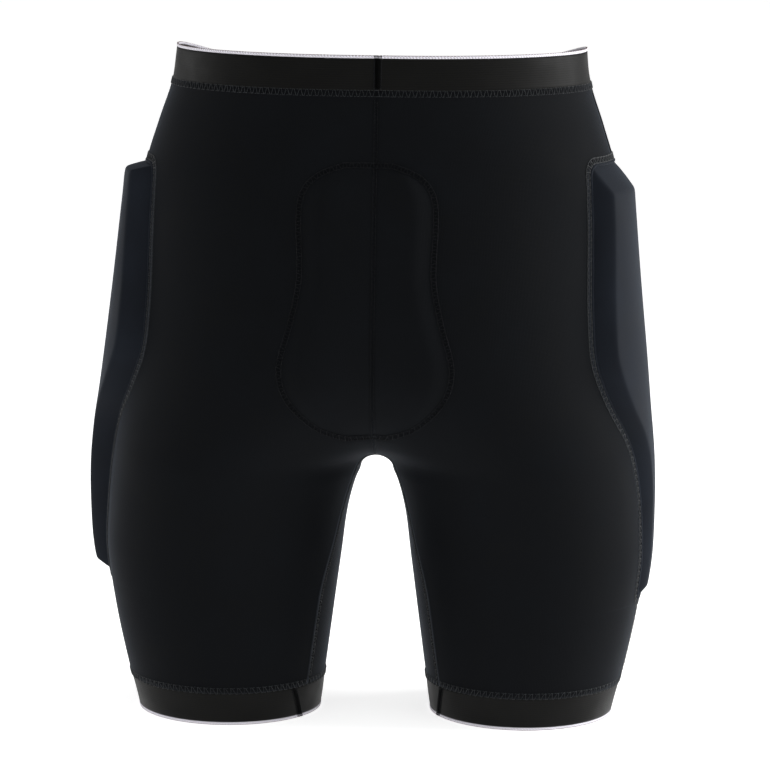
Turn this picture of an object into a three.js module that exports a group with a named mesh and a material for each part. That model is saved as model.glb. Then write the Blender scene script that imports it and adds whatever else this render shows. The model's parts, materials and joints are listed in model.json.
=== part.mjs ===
// Padded impact shorts for skiing and snowboarding, filled out as when worn.
// Millimetres, +Z up, +X to the wearer's right, +Y to the wearer's front.
import * as THREE from 'three';

// ---------------------------------------------------------------- overall sizes
const WAIST_HEIGHT = 485;        // hem to the rear waist rim
const CROTCH_HEIGHT = 191;       // hem to the lowest point of the crotch
const WAIST_HALF_WIDTH = 147;    // at the waist rim
const HEM_HALF_WIDTH = 173;      // centre plane to the outer side of a hem
const FRONT_SCOOP = 30;          // how far the rim drops from the sides to centre front
const CROTCH_ROUND = 14;         // how widely the two legs blend into each other

// ---------------------------------------------------------------- cloth and trim
const FABRIC = 1.2;              // stretch knit
const ELASTIC = 1.4;             // waist and leg bands
const ELASTIC_WIDTH = 24.5;      // band height with its edging
const EDGING_WIDTH = 2.2;        // light woven edge of a band
const MESH = 0.6;                // pocket liners
const STITCH = 0.6;              // raised height of a stitched seam
const STITCH_WIDTH = 5.3;        // coverstitch width
const FINE_SEAM_WIDTH = 3.2;     // plain flat seams
const GAP = 0.3;                 // clearance between pieces that lie on each other
const BUTT_GAP = 0.35;           // half clearance between two panel edges that butt
const BAND_GAP = 0.6;            // clearance between a panel edge and an elastic band
const LAYER_GAP = 1.0;           // clearance of the layers behind the panels
const JOIN_WIDTH = 3.8;          // bar-tacked join of a band

// ---------------------------------------------------------------- pads
const HIP_PAD_TOP = { left: 0.722, right: 0.735 };     // share of the torso height
const HIP_PAD_BOTTOM = { left: 0.51, right: 0.455 };   // share of the leg height
const HIP_PAD_RISE = { left: 18, right: 14.5 };        // thickest part of a covered pad above the panels
const HIP_PAD_SHIFT = { left: -7, right: 11 };         // side line and pad sit this far toward the rear
const HIP_FLANGE = STITCH_WIDTH - 1.7;                 // flat margin of a cover, under its seam
const HIP_BEVEL = 8;             // width of the sloping wall inside the margin
const HIP_TOP_BEVEL = { left: 8, right: 19 };          // the same wall at the upper end
const HIP_CORNER = 11;           // rounding of the pad outline
const TAIL_RISE = 4.5;           // how far the back panels swell over the tailbone pad
const TAIL_DEPTH = 5;            // tailbone foam below the panels
const TAIL_BEVEL = 9;            // sloping edge of the tailbone pad
const TAIL_SHIFT = 5;            // tailbone pad sits this far to the left of the centre seam
const LINER_MARGIN = 6;          // liner overlap beyond the pad it closes

// ---------------------------------------------------------------- small helpers
const clamp = (t, low, high) => Math.min(Math.max(t, low), high);
const mix = (a, b, t) => a + (b - a) * t;

function smooth(t) {
  const c = clamp(t, 0, 1);
  return c * c * (3 - 2 * c);
}

function steps(from, to, count) {
  const list = [];
  for (let k = 0; k <= count; k += 1) {
    list.push(mix(from, to, k / count));
  }
  return list;
}

// Smooth curve through [position, value] points.
function curve(points) {
  const last = points.length - 1;
  const slope = [];
  for (let k = 0; k < last; k += 1) {
    slope.push((points[k + 1][1] - points[k][1]) / (points[k + 1][0] - points[k][0]));
  }
  const tangent = points.map((point, k) => {
    if (k === 0) return slope[0];
    if (k === last) return slope[last - 1];
    return (slope[k - 1] + slope[k]) / 2;
  });
  return (position) => {
    let k = 0;
    while (k < last - 1 && position > points[k + 1][0]) k += 1;
    const span = points[k + 1][0] - points[k][0];
    const t = clamp((position - points[k][0]) / span, 0, 1);
    const t2 = t * t;
    const t3 = t2 * t;
    return (2 * t3 - 3 * t2 + 1) * points[k][1] + (t3 - 2 * t2 + t) * span * tangent[k]
      + (-2 * t3 + 3 * t2) * points[k + 1][1] + (t3 - t2) * span * tangent[k + 1];
  };
}

// ---------------------------------------------------------------- body form
const leg = (share) => share * CROTCH_HEIGHT;
const torso = (share) => mix(CROTCH_HEIGHT, WAIST_HEIGHT, share);

// Outer side of the garment, half width from the centre plane.
const OUTER = curve([
  [leg(0), HEM_HALF_WIDTH],
  [leg(0.21), HEM_HALF_WIDTH * 1.055],
  [leg(0.42), HEM_HALF_WIDTH * 1.1],
  [leg(0.63), HEM_HALF_WIDTH * 1.13],
  [leg(0.8), HEM_HALF_WIDTH * 1.125],
  [torso(0), HEM_HALF_WIDTH * 1.104],
  [torso(0.167), HEM_HALF_WIDTH * 1.058],
  [torso(0.39), WAIST_HALF_WIDTH * 1.194],
  [torso(0.63), WAIST_HALF_WIDTH * 1.157],
  [torso(0.711), WAIST_HALF_WIDTH * 1.146],
  [torso(0.813), WAIST_HALF_WIDTH * 1.088],
  [torso(0.915), WAIST_HALF_WIDTH * 1.022],
  [torso(1), WAIST_HALF_WIDTH],
]);
// Inner side of a leg; above the crotch it keeps going past the centre plane, which opens the legs
// into one body.
const INNER = curve([
  [leg(0), CROTCH_ROUND * 3.05],
  [leg(0.36), CROTCH_ROUND * 2.46],
  [leg(0.61), CROTCH_ROUND * 2.06],
  [leg(0.8), CROTCH_ROUND * 1.76],
  [leg(0.93), CROTCH_ROUND * 1.36],
  [torso(0), CROTCH_ROUND],
  [torso(0.04), CROTCH_ROUND * -0.03],
  [torso(0.165), CROTCH_ROUND * -3.5],
  [torso(0.3), CROTCH_ROUND * -5.9],
  [torso(0.5), CROTCH_ROUND * -7.3],
  [torso(1), CROTCH_ROUND * -8.4],
]);
// Depth behind and in front of the middle line of each level, and where that line runs.
const REAR = curve([
  [leg(0), 72], [leg(0.3), 79], [leg(0.63), 87], [torso(0), 100], [torso(0.167), 109],
  [torso(0.37), 112], [torso(0.6), 108], [torso(0.8), 103], [torso(1), 100],
]);
const FRONT = curve([
  [leg(0), 72], [leg(0.3), 77], [leg(0.63), 84], [torso(0), 93], [torso(0.167), 98],
  [torso(0.37), 100], [torso(0.6), 99], [torso(0.8), 98], [torso(1), 97],
]);
const MIDDLE = curve([
  [leg(0), 0], [leg(0.4), -9], [torso(0), -13], [torso(0.25), -14], [torso(0.6), -7], [torso(0.85), 0],
  [torso(1), 2],
]);

// One level of the form: an ellipse in a widened cross coordinate hypot(x, CROTCH_ROUND).
function level(z) {
  const outer = Math.hypot(OUTER(z), CROTCH_ROUND);
  const inner = INNER(z);
  return {
    centre: (outer + inner) / 2,
    half: (outer - inner) / 2,
    rear: REAR(z),
    front: FRONT(z),
    middle: MIDDLE(z),
  };
}

// Angle at which a level meets the centre plane (the full half turn below the crotch).
function endAngle(at) {
  const share = (CROTCH_ROUND - at.centre) / at.half;
  return share <= -1 ? Math.PI : Math.acos(share);
}

function levelPoint(at, angle) {
  const wide = at.centre + at.half * Math.cos(angle);
  const depth = angle < 0 ? at.rear : at.front;
  return {
    x: Math.sqrt(Math.max(wide * wide - CROTCH_ROUND * CROTCH_ROUND, 0)),
    y: at.middle + depth * Math.sin(angle),
  };
}

function formValue(x, y, z) {
  const at = level(z);
  const across = (Math.hypot(x, CROTCH_ROUND) - at.centre) / at.half;
  const along = (y - at.middle) / (y < at.middle ? at.rear : at.front);
  return across * across + along * along;
}

const PROBE = 0.25;              // step of the slope measurements
function offsetPoint(x, y, z, height) {
  const slope = new THREE.Vector3(
    formValue(x + PROBE, y, z) - formValue(x - PROBE, y, z),
    formValue(x, y + PROBE, z) - formValue(x, y - PROBE, z),
    formValue(x, y, z + PROBE) - formValue(x, y, z - PROBE),
  ).normalize();
  return new THREE.Vector3(x, y, z).addScaledVector(slope, height);
}

// ---------------------------------------------------------------- places on the form
const BAND_BOTTOM = WAIST_HEIGHT - ELASTIC_WIDTH;
const SCOOP_START = torso(0.45);
const SCOOP_END = BAND_BOTTOM - STITCH_WIDTH;

// Height of a place: the rows sink toward centre front above the scoop start.
function rowHeight(row, turn) {
  const frontness = turn > 0 ? Math.sin(turn * Math.PI / 2) ** 2 : 0;
  return row - FRONT_SCOOP * frontness * smooth((row - SCOOP_START) / (SCOOP_END - SCOOP_START));
}

// Turn runs from -1 (centre back or inseam) over 0 (side) to 1 (centre front or inseam).
function atTurn(side, row, turn, height) {
  const z = rowHeight(row, turn);
  const at = level(z);
  const spot = levelPoint(at, turn * endAngle(at));
  return offsetPoint(side * spot.x, spot.y, z, height);
}

// The same place, moved out level with the ground, so that a rim made of such places is flat.
function atRim(side, row, turn, height) {
  const face = atTurn(side, row, turn, 0);
  const away = atTurn(side, row, turn, 1).sub(face).setZ(0).normalize();
  return face.addScaledVector(away, height);
}

// Length along a level from the side line to each turn, kept per row.
const ARC_STEPS = 120;
const arcs = new Map();
function arcTable(row, sign) {
  const key = `${row.toFixed(4)}/${sign}`;
  if (!arcs.has(key)) {
    const at = level(row);
    const end = endAngle(at);
    const lengths = [0];
    let before = levelPoint(at, 0);
    for (let k = 1; k <= ARC_STEPS; k += 1) {
      const spot = levelPoint(at, sign * end * Math.sin(k / ARC_STEPS * Math.PI / 2));
      lengths.push(lengths[k - 1] + Math.hypot(spot.x - before.x, spot.y - before.y));
      before = spot;
    }
    arcs.set(key, lengths);
  }
  return arcs.get(key);
}

const fullArc = (row, sign) => arcTable(row, sign)[ARC_STEPS];

function turnAtArc(row, arc) {
  const sign = arc < 0 ? -1 : 1;
  const lengths = arcTable(row, sign);
  const wanted = clamp(Math.abs(arc), 0, lengths[ARC_STEPS]);
  let k = 0;
  while (k < ARC_STEPS - 1 && lengths[k + 1] < wanted) k += 1;
  const share = (wanted - lengths[k]) / (lengths[k + 1] - lengths[k]);
  return sign * Math.sin((k + share) / ARC_STEPS * Math.PI / 2);
}

function arcAtTurn(row, turn) {
  const sign = turn < 0 ? -1 : 1;
  const place = Math.asin(clamp(Math.abs(turn), 0, 1)) / (Math.PI / 2) * ARC_STEPS;
  const k = Math.min(Math.floor(place), ARC_STEPS - 1);
  const lengths = arcTable(row, sign);
  return sign * mix(lengths[k], lengths[k + 1], place - k);
}

// Arc is measured from the side line, negative toward the back.
const atSide = (side, row, arc, height) => atTurn(side, row, turnAtArc(row, arc), height);

// Across is measured from the centre-back line, positive to the right.
function atBack(across, row, height) {
  const side = across < 0 ? -1 : 1;
  return atSide(side, row, Math.abs(across) - fullArc(row, -1), height);
}

function atFront(across, row, height) {
  const side = across < 0 ? -1 : 1;
  return atSide(side, row, fullArc(row, 1) - Math.abs(across), height);
}

// ---------------------------------------------------------------- gusset strip
const GUSSET_BOTTOM = ELASTIC_WIDTH + BAND_GAP;
const GUSSET_GAP = 0.7;
const GUSSET_NARROW = 22;        // half width at the crotch
const GUSSET_WIDE = 38;          // half width down the thigh
const gussetHalf = (z) => mix(GUSSET_WIDE, GUSSET_NARROW, smooth((z - leg(0.45)) / (leg(0.88) - leg(0.45))));

// Height at which the form crosses the centre plane, this far from the middle line.
function riseHeight(offset) {
  let low = CROTCH_HEIGHT - 1;
  let high = torso(0.3);
  for (let k = 0; k < 40; k += 1) {
    const z = (low + high) / 2;
    const at = level(z);
    const across = (CROTCH_ROUND - at.centre) / at.half;
    const along = offset / (offset < 0 ? at.rear : at.front);
    if (across * across + along * along > 1) low = z;
    else high = z;
  }
  return high;
}

// Along runs from -1 (left hem band) over 0 (crotch) to 1 (right hem band); share runs across.
function gussetSpot(along, share, extra) {
  let z = leg(0.9);
  let offset = 0;
  for (let k = 0; k < 12; k += 1) {
    offset = share * gussetHalf(z) + extra;
    z = mix(riseHeight(offset), GUSSET_BOTTOM, along * along);
  }
  return { z, offset };
}

function atGusset(along, share, extra, height) {
  const { z, offset } = gussetSpot(along, share, extra);
  const at = level(z);
  const depth = offset < 0 ? at.rear : at.front;
  const wide = at.centre - at.half * Math.sqrt(1 - (offset / depth) ** 2);
  const x = Math.sqrt(Math.max(wide * wide - CROTCH_ROUND * CROTCH_ROUND, 0));
  return offsetPoint(Math.sign(along) * x, at.middle + offset, z, height);
}

// Arc of the gusset edge on a row, or the centre line above the crotch.
function innerArc(row, sign) {
  const at = level(row);
  const depth = sign < 0 ? at.rear : at.front;
  const end = endAngle(at);
  const edge = Math.PI - Math.asin(gussetHalf(row) / depth);
  return arcAtTurn(row, sign * Math.min(edge / end, 1));
}

// ---------------------------------------------------------------- closed bodies
// A slab between two sheets of points; rows or columns may close on themselves.
function slab(outer, inner, ring = false) {
  const rows = outer.length;
  const cols = outer[0].length;
  const place = [];
  for (const sheet of [outer, inner]) {
    for (const line of sheet) {
      for (const point of line) place.push(point.x, point.y, point.z);
    }
  }
  const index = [];
  const node = (sheet, i, j) => sheet * rows * cols + (i % rows) * cols + j;
  const corner = (k) => new THREE.Vector3().fromArray(place, k * 3);
  const quad = (a, b, c, d) => {
    const first = corner(a).distanceTo(corner(c));
    const second = corner(b).distanceTo(corner(d));
    if (first <= second) index.push(a, b, c, a, c, d);
    else index.push(a, b, d, b, c, d);
  };
  const lastRow = ring ? rows : rows - 1;
  for (let i = 0; i < lastRow; i += 1) {
    for (let j = 0; j < cols - 1; j += 1) {
      quad(node(0, i, j), node(0, i, j + 1), node(0, i + 1, j + 1), node(0, i + 1, j));
      quad(node(1, i, j), node(1, i + 1, j), node(1, i + 1, j + 1), node(1, i, j + 1));
    }
    quad(node(0, i, 0), node(0, i + 1, 0), node(1, i + 1, 0), node(1, i, 0));
    quad(node(0, i, cols - 1), node(1, i, cols - 1), node(1, i + 1, cols - 1), node(0, i + 1, cols - 1));
  }
  if (!ring) {
    for (let j = 0; j < cols - 1; j += 1) {
      quad(node(0, 0, j), node(1, 0, j), node(1, 0, j + 1), node(0, 0, j + 1));
      quad(node(0, rows - 1, j), node(0, rows - 1, j + 1), node(1, rows - 1, j + 1), node(1, rows - 1, j));
    }
  }
  const geometry = new THREE.BufferGeometry();
  geometry.setAttribute('position', new THREE.Float32BufferAttribute(place, 3));
  geometry.setIndex(volume(place, index) < 0 ? index.reverse() : index);
  geometry.computeVertexNormals();
  return geometry;
}

function volume(place, index) {
  const corner = (k) => new THREE.Vector3().fromArray(place, index[k] * 3);
  let total = 0;
  for (let k = 0; k < index.length; k += 3) {
    total += corner(k).dot(corner(k + 1).cross(corner(k + 2)));
  }
  return total;
}

// Both sheets from one function of (row item, column item, which face).
function sheetPair(rowItems, colItems, spot) {
  const sheet = (face) => rowItems.map((row) => colItems.map((col) => spot(row, col, face)));
  return [sheet('outer'), sheet('inner')];
}

const group = new THREE.Group();
group.name = 'padded_impact_shorts';
function add(name, geometry, look) {
  const mesh = new THREE.Mesh(geometry, new THREE.MeshStandardMaterial(look));
  mesh.name = name;
  group.add(mesh);
}

const KNIT = { color: '#14171b', roughness: 0.82, metalness: 0 };
const COVER_KNIT = { color: '#1b1f25', roughness: 0.78, metalness: 0 };
const BAND = { color: '#1c1c1b', roughness: 0.6, metalness: 0 };
const WOVEN_EDGE = { color: '#dedbe6', roughness: 0.75, metalness: 0 };
const THREAD = { color: '#565b61', roughness: 0.7, metalness: 0 };
const DARK_THREAD = { color: '#0c0d0f', roughness: 0.8, metalness: 0 };
const FOAM = { color: '#2b2e33', roughness: 0.9, metalness: 0 };
const LINER = { color: '#0f1114', roughness: 0.85, metalness: 0 };

const SIDES = [['left', -1], ['right', 1]];

// A raised seam lies just clear of the cloth it joins.
const seamFaces = (face) => 1.5 * GAP + (face === 'outer' ? STITCH : 0);

// ---------------------------------------------------------------- pad outlines
// Half width of a hip pad, by share of its height from its lower end.
const HIP_HALF = {
  left: curve([[0, 14], [0.14, 15], [0.27, 18], [0.38, 25], [0.46, 43], [0.56, 59], [0.65, 59], [0.88, 49],
    [1, 47]]),
  right: curve([[0, 15], [0.14, 18], [0.27, 21], [0.38, 32], [0.46, 48], [0.56, 60], [0.65, 59], [0.88, 49],
    [1, 47]]),
};
// Thickness of a hip pad along the same height, as a share of its full rise.
const HIP_THICK = {
  left: curve([[0, 0.55], [0.14, 0.76], [0.27, 0.94], [0.4, 1], [0.6, 1], [1, 0.84]]),
  right: curve([[0, 0.34], [0.14, 0.42], [0.27, 0.62], [0.4, 0.8], [0.5, 0.94], [0.6, 1], [1, 0.94]]),
};
const hipBottom = (name) => leg(HIP_PAD_BOTTOM[name]);
const hipTop = (name) => torso(HIP_PAD_TOP[name]);

function cornerInset(fromEnd, radius) {
  const t = clamp(1 - fromEnd / radius, 0, 1);
  return radius * (1 - Math.sqrt(1 - t * t));
}

function hipHalf(name, row) {
  const low = hipBottom(name);
  const high = hipTop(name);
  const share = clamp((row - low) / (high - low), 0, 1);
  return HIP_HALF[name](share) - cornerInset(Math.min(row - low, high - row), HIP_CORNER);
}

// Half width of the tailbone pad, by share of the torso height.
const TAIL_HALF = curve([
  [0.082, 18], [0.105, 38], [0.15, 54], [0.21, 63], [0.262, 64], [0.371, 55], [0.466, 49.5],
  [0.639, 50.5], [0.69, 49], [0.722, 42], [0.74, 28],
]);
const TAIL_BOTTOM = torso(0.082);
const TAIL_TOP = torso(0.74);

function tailHalf(row, side) {
  const share = (clamp(row, TAIL_BOTTOM, TAIL_TOP) - CROTCH_HEIGHT) / (WAIST_HEIGHT - CROTCH_HEIGHT);
  return TAIL_HALF(share) - side * TAIL_SHIFT;
}

const tailShare = (row) => clamp(Math.min(row - TAIL_BOTTOM, TAIL_TOP - row) / TAIL_BEVEL, 0, 1);

// Swell of the back panels over the tailbone pad, across measured from the centre-back line.
function tailSwell(across, row) {
  const edge = tailHalf(row, across < 0 ? -1 : 1);
  return TAIL_RISE * Math.min(tailShare(row), clamp((edge - Math.abs(across)) / TAIL_BEVEL, 0, 1));
}

// ---------------------------------------------------------------- panels
const LEG_STEPS = 11;
const EDGE_STEP = 0.45;          // short rows that turn a panel edge round a pad corner
const FOAM_INSET = HIP_FLANGE + 1.4;
const WALL_END = HIP_FLANGE + HIP_BEVEL;
const topWallRows = (name, high) => (
  [...new Set([HIP_FLANGE + HIP_TOP_BEVEL[name], WALL_END])].map((drop) => high - drop)
);
const BODY_ROWS = [
  0.012, 0.028, 0.052, 0.082, 0.113, 0.155, 0.205, 0.262, 0.33, 0.4, 0.47, 0.54, 0.61, 0.67,
];
const UPPER_ROWS = [0.715, 0.735, 0.755, 0.8, 0.85];

function legRows(sign) {
  const rows = [];
  for (let k = LEG_STEPS; k >= 0; k -= 1) {
    rows.push(gussetSpot(k / LEG_STEPS, sign, 0).z);
  }
  return rows;
}

// Rows shared by a hip pad and the panels round it.
function hipRows(name) {
  const low = hipBottom(name);
  const high = hipTop(name);
  const shared = [...legRows(-1).filter((row) => row < CROTCH_HEIGHT - 12), ...BODY_ROWS.map(torso)];
  const upper = topWallRows(name, high);
  return [low, low + HIP_FLANGE, low + FOAM_INSET, low + WALL_END,
    ...shared.filter((row) => row > low + WALL_END + 5 && row < upper[0] - 5),
    ...upper, high - FOAM_INSET, high - HIP_FLANGE, high];
}

function panelRows(name, sign) {
  const low = hipBottom(name);
  const high = hipTop(name);
  const turns = [low - 3 * EDGE_STEP, low - EDGE_STEP, low, low + HIP_FLANGE, low + WALL_END,
    ...topWallRows(name, high), high - HIP_FLANGE, high, high + EDGE_STEP, high + 3 * EDGE_STEP];
  const legs = legRows(sign);
  const seat = legs.filter((row) => row > CROTCH_HEIGHT - 16);
  const tail = sign < 0 ? [TAIL_TOP - TAIL_BEVEL, TAIL_TOP - TAIL_BEVEL / 3, TAIL_TOP] : [];
  const top = [BAND_BOTTOM - STITCH_WIDTH - 0.5, BAND_BOTTOM - BAND_GAP];
  const fixed = [...turns, ...tail, ...top, ...seat, ...BODY_ROWS.slice(0, 6).map(torso), legs[0]];
  const free = [...legs, ...BODY_ROWS.map(torso), ...UPPER_ROWS.map(torso)];
  const kept = free.filter((row) => fixed.every((other) => Math.abs(other - row) > 5));
  return [...fixed, ...kept].sort((a, b) => a - b).filter((row, k, all) => k === 0 || row - all[k - 1] > 0.3);
}

// Outer edge of a panel: the side line, or the edge of the pad window.
function windowArc(name, row) {
  const low = hipBottom(name) - EDGE_STEP;
  const high = hipTop(name) + EDGE_STEP;
  if (row < low - EDGE_STEP || row > high + EDGE_STEP) return BUTT_GAP;
  return hipHalf(name, clamp(row, hipBottom(name), hipTop(name))) + 2 * BUTT_GAP;
}

// Panel columns close up toward the side, where the form turns fastest.
const towardSide = (share) => 1 - (1 - share) ** 1.3;

// Clearance of a panel at its inner edge: to the gusset, or to the other panel above it.
const START_BLEND = 4;
const panelStart = (row) => mix(GUSSET_GAP, BUTT_GAP, smooth((row - CROTCH_HEIGHT) / START_BLEND));

for (const [name, side] of SIDES) {
  const rows = panelRows(name, -1);
  const columns = steps(0, 11, 11);
  const [outer, inner] = sheetPair(rows, columns, (row, column, face) => {
    const full = fullArc(row, -1);
    const start = full + innerArc(row, -1) + panelStart(row);
    const end = full - windowArc(name, row) - HIP_PAD_SHIFT[name];
    const edge = start + tailHalf(row, side);
    const across = column <= 3
      ? mix(start, edge - TAIL_BEVEL, column / 3)
      : mix(edge, end, towardSide((column - 4) / 7));
    const swell = tailSwell(side * across, row);
    return atBack(side * across, row, face === 'outer' ? swell : swell - FABRIC);
  });
  add(`back_panel_${name}`, slab(outer, inner), KNIT);
}

for (const [name, side] of SIDES) {
  const rows = panelRows(name, 1);
  const [outer, inner] = sheetPair(rows, steps(0, 1, 9), (row, share, face) => {
    const start = innerArc(row, 1) - panelStart(row);
    const end = windowArc(name, row) - HIP_PAD_SHIFT[name];
    const arc = mix(start, end, mix(share, smooth(share), 0.5));
    return atSide(side, row, arc, face === 'outer' ? 0 : -FABRIC);
  });
  add(`front_panel_${name}`, slab(outer, inner), KNIT);
}

// ---------------------------------------------------------------- gusset
const gussetRows = steps(-1, 1, 2 * LEG_STEPS);
add('inseam_gusset', slab(...sheetPair(gussetRows, steps(-1, 1, 6), (along, share, face) => (
  atGusset(along, share, 0, face === 'outer' ? 0 : -FABRIC)
))), KNIT);

const SEAM_STOP = 0.985;         // gusset seams end just above the leg seams
for (const [name, sign] of [['back', -1], ['front', 1]]) {
  const rows = steps(-SEAM_STOP, SEAM_STOP, 2 * LEG_STEPS + 4);
  const edges = [-FINE_SEAM_WIDTH / 2, FINE_SEAM_WIDTH / 2];
  add(`gusset_seam_${name}`, slab(...sheetPair(rows, edges, (along, extra, face) => (
    atGusset(along, sign, extra, (face === 'outer' ? STITCH : 0) + 1.6 * GAP)
  ))), THREAD);
}

// ---------------------------------------------------------------- hip pads
// Height of the cover face above the panels, by its distance from the outline.
function hipLift(name, row, inset) {
  const low = hipBottom(name);
  const high = hipTop(name);
  const thick = HIP_PAD_RISE[name] * HIP_THICK[name]((row - low) / (high - low));
  const wall = (distance, width) => clamp((distance - HIP_FLANGE) / width, 0, 1);
  return thick * Math.min(wall(inset, HIP_BEVEL), wall(row - low, HIP_BEVEL),
    wall(high - row, HIP_TOP_BEVEL[name]));
}

// Arc is measured from the middle line of a hip pad, which the side seams follow too.
const atPad = (name, side, row, arc, height) => atSide(side, row, arc - HIP_PAD_SHIFT[name], height);

const COVER_COLUMNS = [[0, 0], [HIP_FLANGE, 0], [FOAM_INSET, 0], [WALL_END, 0], [WALL_END, 0.5]];
function insetColumns(list) {
  const far = [...list].reverse().map(([inset, share]) => [inset, share, 1]);
  return [...list.map(([inset, share]) => [inset, share, -1]), [WALL_END, 1, 1], ...far];
}

// Place on a hip pad; a column is [distance from the outline, share toward the middle, rear or front].
function hipSpot(name, side, row, column, height) {
  const [inset, share, sign] = column;
  const half = hipHalf(name, row);
  const arc = sign * mix(half - inset * Math.min(1, half * 0.8 / WALL_END), 0, share);
  return atPad(name, side, row, arc, height(inset));
}

for (const [name, side] of SIDES) {
  const low = hipBottom(name);
  const high = hipTop(name);
  const rows = hipRows(name);
  const columns = insetColumns(COVER_COLUMNS);
  const lift = (row, inset) => hipLift(name, row, inset);
  add(`hip_pad_cover_${name}`, slab(...sheetPair(rows, columns, (row, column, face) => (
    hipSpot(name, side, row, column, (inset) => lift(row, inset) - (face === 'outer' ? 0 : FABRIC))
  ))), COVER_KNIT);

  const foamRows = rows.slice(2, -2);
  const foamColumns = insetColumns(COVER_COLUMNS.slice(2));
  add(`hip_pad_${name}`, slab(...sheetPair(foamRows, foamColumns, (row, column, face) => (
    hipSpot(name, side, row, column, (inset) => (face === 'outer' ? lift(row, inset) - FABRIC - GAP : -FABRIC))
  ))), FOAM);

  const linerRows = [low - LINER_MARGIN, ...rows.slice(1, -1), high + LINER_MARGIN];
  add(`hip_pad_liner_${name}`, slab(...sheetPair(linerRows, steps(-1, 1, 6), (row, share, face) => {
    const inside = clamp(row, low + HIP_CORNER, high - HIP_CORNER);
    const arc = share * (hipHalf(name, inside) + LINER_MARGIN);
    const upper = -FABRIC - LAYER_GAP * (row < low + HIP_BEVEL || row > high - HIP_BEVEL ? 2.4 : 1);
    return atPad(name, side, row, arc, face === 'outer' ? upper : upper - MESH);
  })), LINER);
}

// ---------------------------------------------------------------- seams that follow an outline
const END_STEPS = [0.2, 0.37, 0.44, 0.5, 0.56, 0.63, 0.8];
// A closed line of [arc, row] points, widened between two distances outward from itself.
function outlineRing(points, edges, spot) {
  const count = points.length;
  const rows = points.map((point, k) => {
    const before = points[(k + count - 1) % count];
    const after = points[(k + 1) % count];
    const run = new THREE.Vector2(after[0] - before[0], after[1] - before[1]).normalize();
    return [point, new THREE.Vector2(run.y, -run.x)];
  });
  return slab(...sheetPair(rows, edges, ([point, away], shift, face) => (
    spot(point[0] + away.x * shift, point[1] + away.y * shift, face)
  )), true);
}

// Up the right edge of an outline, over the top, down the left edge and along the bottom.
function outlinePoints(rowsAt, halfAt, low, high) {
  const right = rowsAt(1).map((row) => [halfAt(row, 1), row]);
  const left = [...rowsAt(-1)].reverse().map((row) => [-halfAt(row, -1), row]);
  const across = (row, from, to) => END_STEPS.map((share) => [mix(from, to, share), row]);
  return [...right, ...across(high, halfAt(high, 1), -halfAt(high, -1)), ...left,
    ...across(low, -halfAt(low, -1), halfAt(low, 1))];
}

const HIP_SEAM_EDGES = [0.8 - STITCH_WIDTH / 2, 0.8 + STITCH_WIDTH / 2];
for (const [name, side] of SIDES) {
  const low = hipBottom(name);
  const high = hipTop(name);
  const bend = [0, 0.12, 0.4, 1].map((share) => share * HIP_CORNER);
  const clear = HIP_CORNER + 2;
  const rowsAt = (sign) => [...bend.map((rise) => low + rise),
    ...panelRows(name, sign).filter((row) => row > low + clear && row < high - clear),
    ...[...bend].reverse().map((drop) => high - drop)];
  const points = outlinePoints(rowsAt, (row) => hipHalf(name, row), low, high);
  add(`hip_pad_seam_${name}`, outlineRing(points, HIP_SEAM_EDGES, (arc, row, face) => (
    atPad(name, side, row, arc, seamFaces(face))
  )), THREAD);
}

// ---------------------------------------------------------------- tailbone pad
const TAIL_INSET = 1.5;
const backRows = panelRows('left', -1).filter((row) => row > TAIL_BOTTOM + 1 && row < TAIL_TOP - 1);
const tailPadRows = [TAIL_BOTTOM + TAIL_INSET, ...backRows.filter((row) => row > TAIL_BOTTOM + 5
  && row < TAIL_TOP - 2), TAIL_TOP - TAIL_INSET];
const tailColumns = [[-1, 1], [-1, 0.999], [-1, 0.67], [-1, 0.33], [0, 0], [1, 0.33], [1, 0.67], [1, 0.999], [1, 1]];

// Across position of a tailbone column: share 1 is the pad edge, 0.999 the start of its bevel.
function tailAcross([side, share], row, margin) {
  if (side === 0) return 0;
  const edge = tailHalf(row, side);
  if (share === 1) return side * (edge + margin);
  return side * share * (edge - TAIL_BEVEL);
}

add('tailbone_pad', slab(...sheetPair(tailPadRows, tailColumns, (row, column, face) => {
  const across = tailAcross(column, row, -TAIL_INSET);
  const upper = tailSwell(across, row) - FABRIC - LAYER_GAP;
  return atBack(across, row, face === 'outer' ? upper : -FABRIC - LAYER_GAP - TAIL_DEPTH);
})), FOAM);

const tailLinerRows = [TAIL_BOTTOM - LINER_MARGIN, TAIL_BOTTOM - 1, ...tailPadRows.slice(1, -1), TAIL_TOP + 1,
  TAIL_TOP + LINER_MARGIN];
const linerColumns = [[-1, 2], ...tailColumns, [1, 2]];
add('tailbone_pad_liner', slab(...sheetPair(tailLinerRows, linerColumns, (row, column, face) => {
  const outermost = column[1] === 2;
  const bounded = clamp(row, TAIL_BOTTOM + 3, TAIL_TOP - 3);
  const side = column[0];
  const across = outermost ? side * (tailHalf(bounded, side) + LINER_MARGIN) : tailAcross(column, bounded, 1);
  const margin = outermost || row < TAIL_BOTTOM - 2 || row > TAIL_TOP + 2;
  const upper = margin ? -FABRIC - LAYER_GAP : -FABRIC - LAYER_GAP - 1.8 * GAP - TAIL_DEPTH;
  return atBack(across, row, face === 'outer' ? upper : upper - MESH);
})), LINER);

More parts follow.
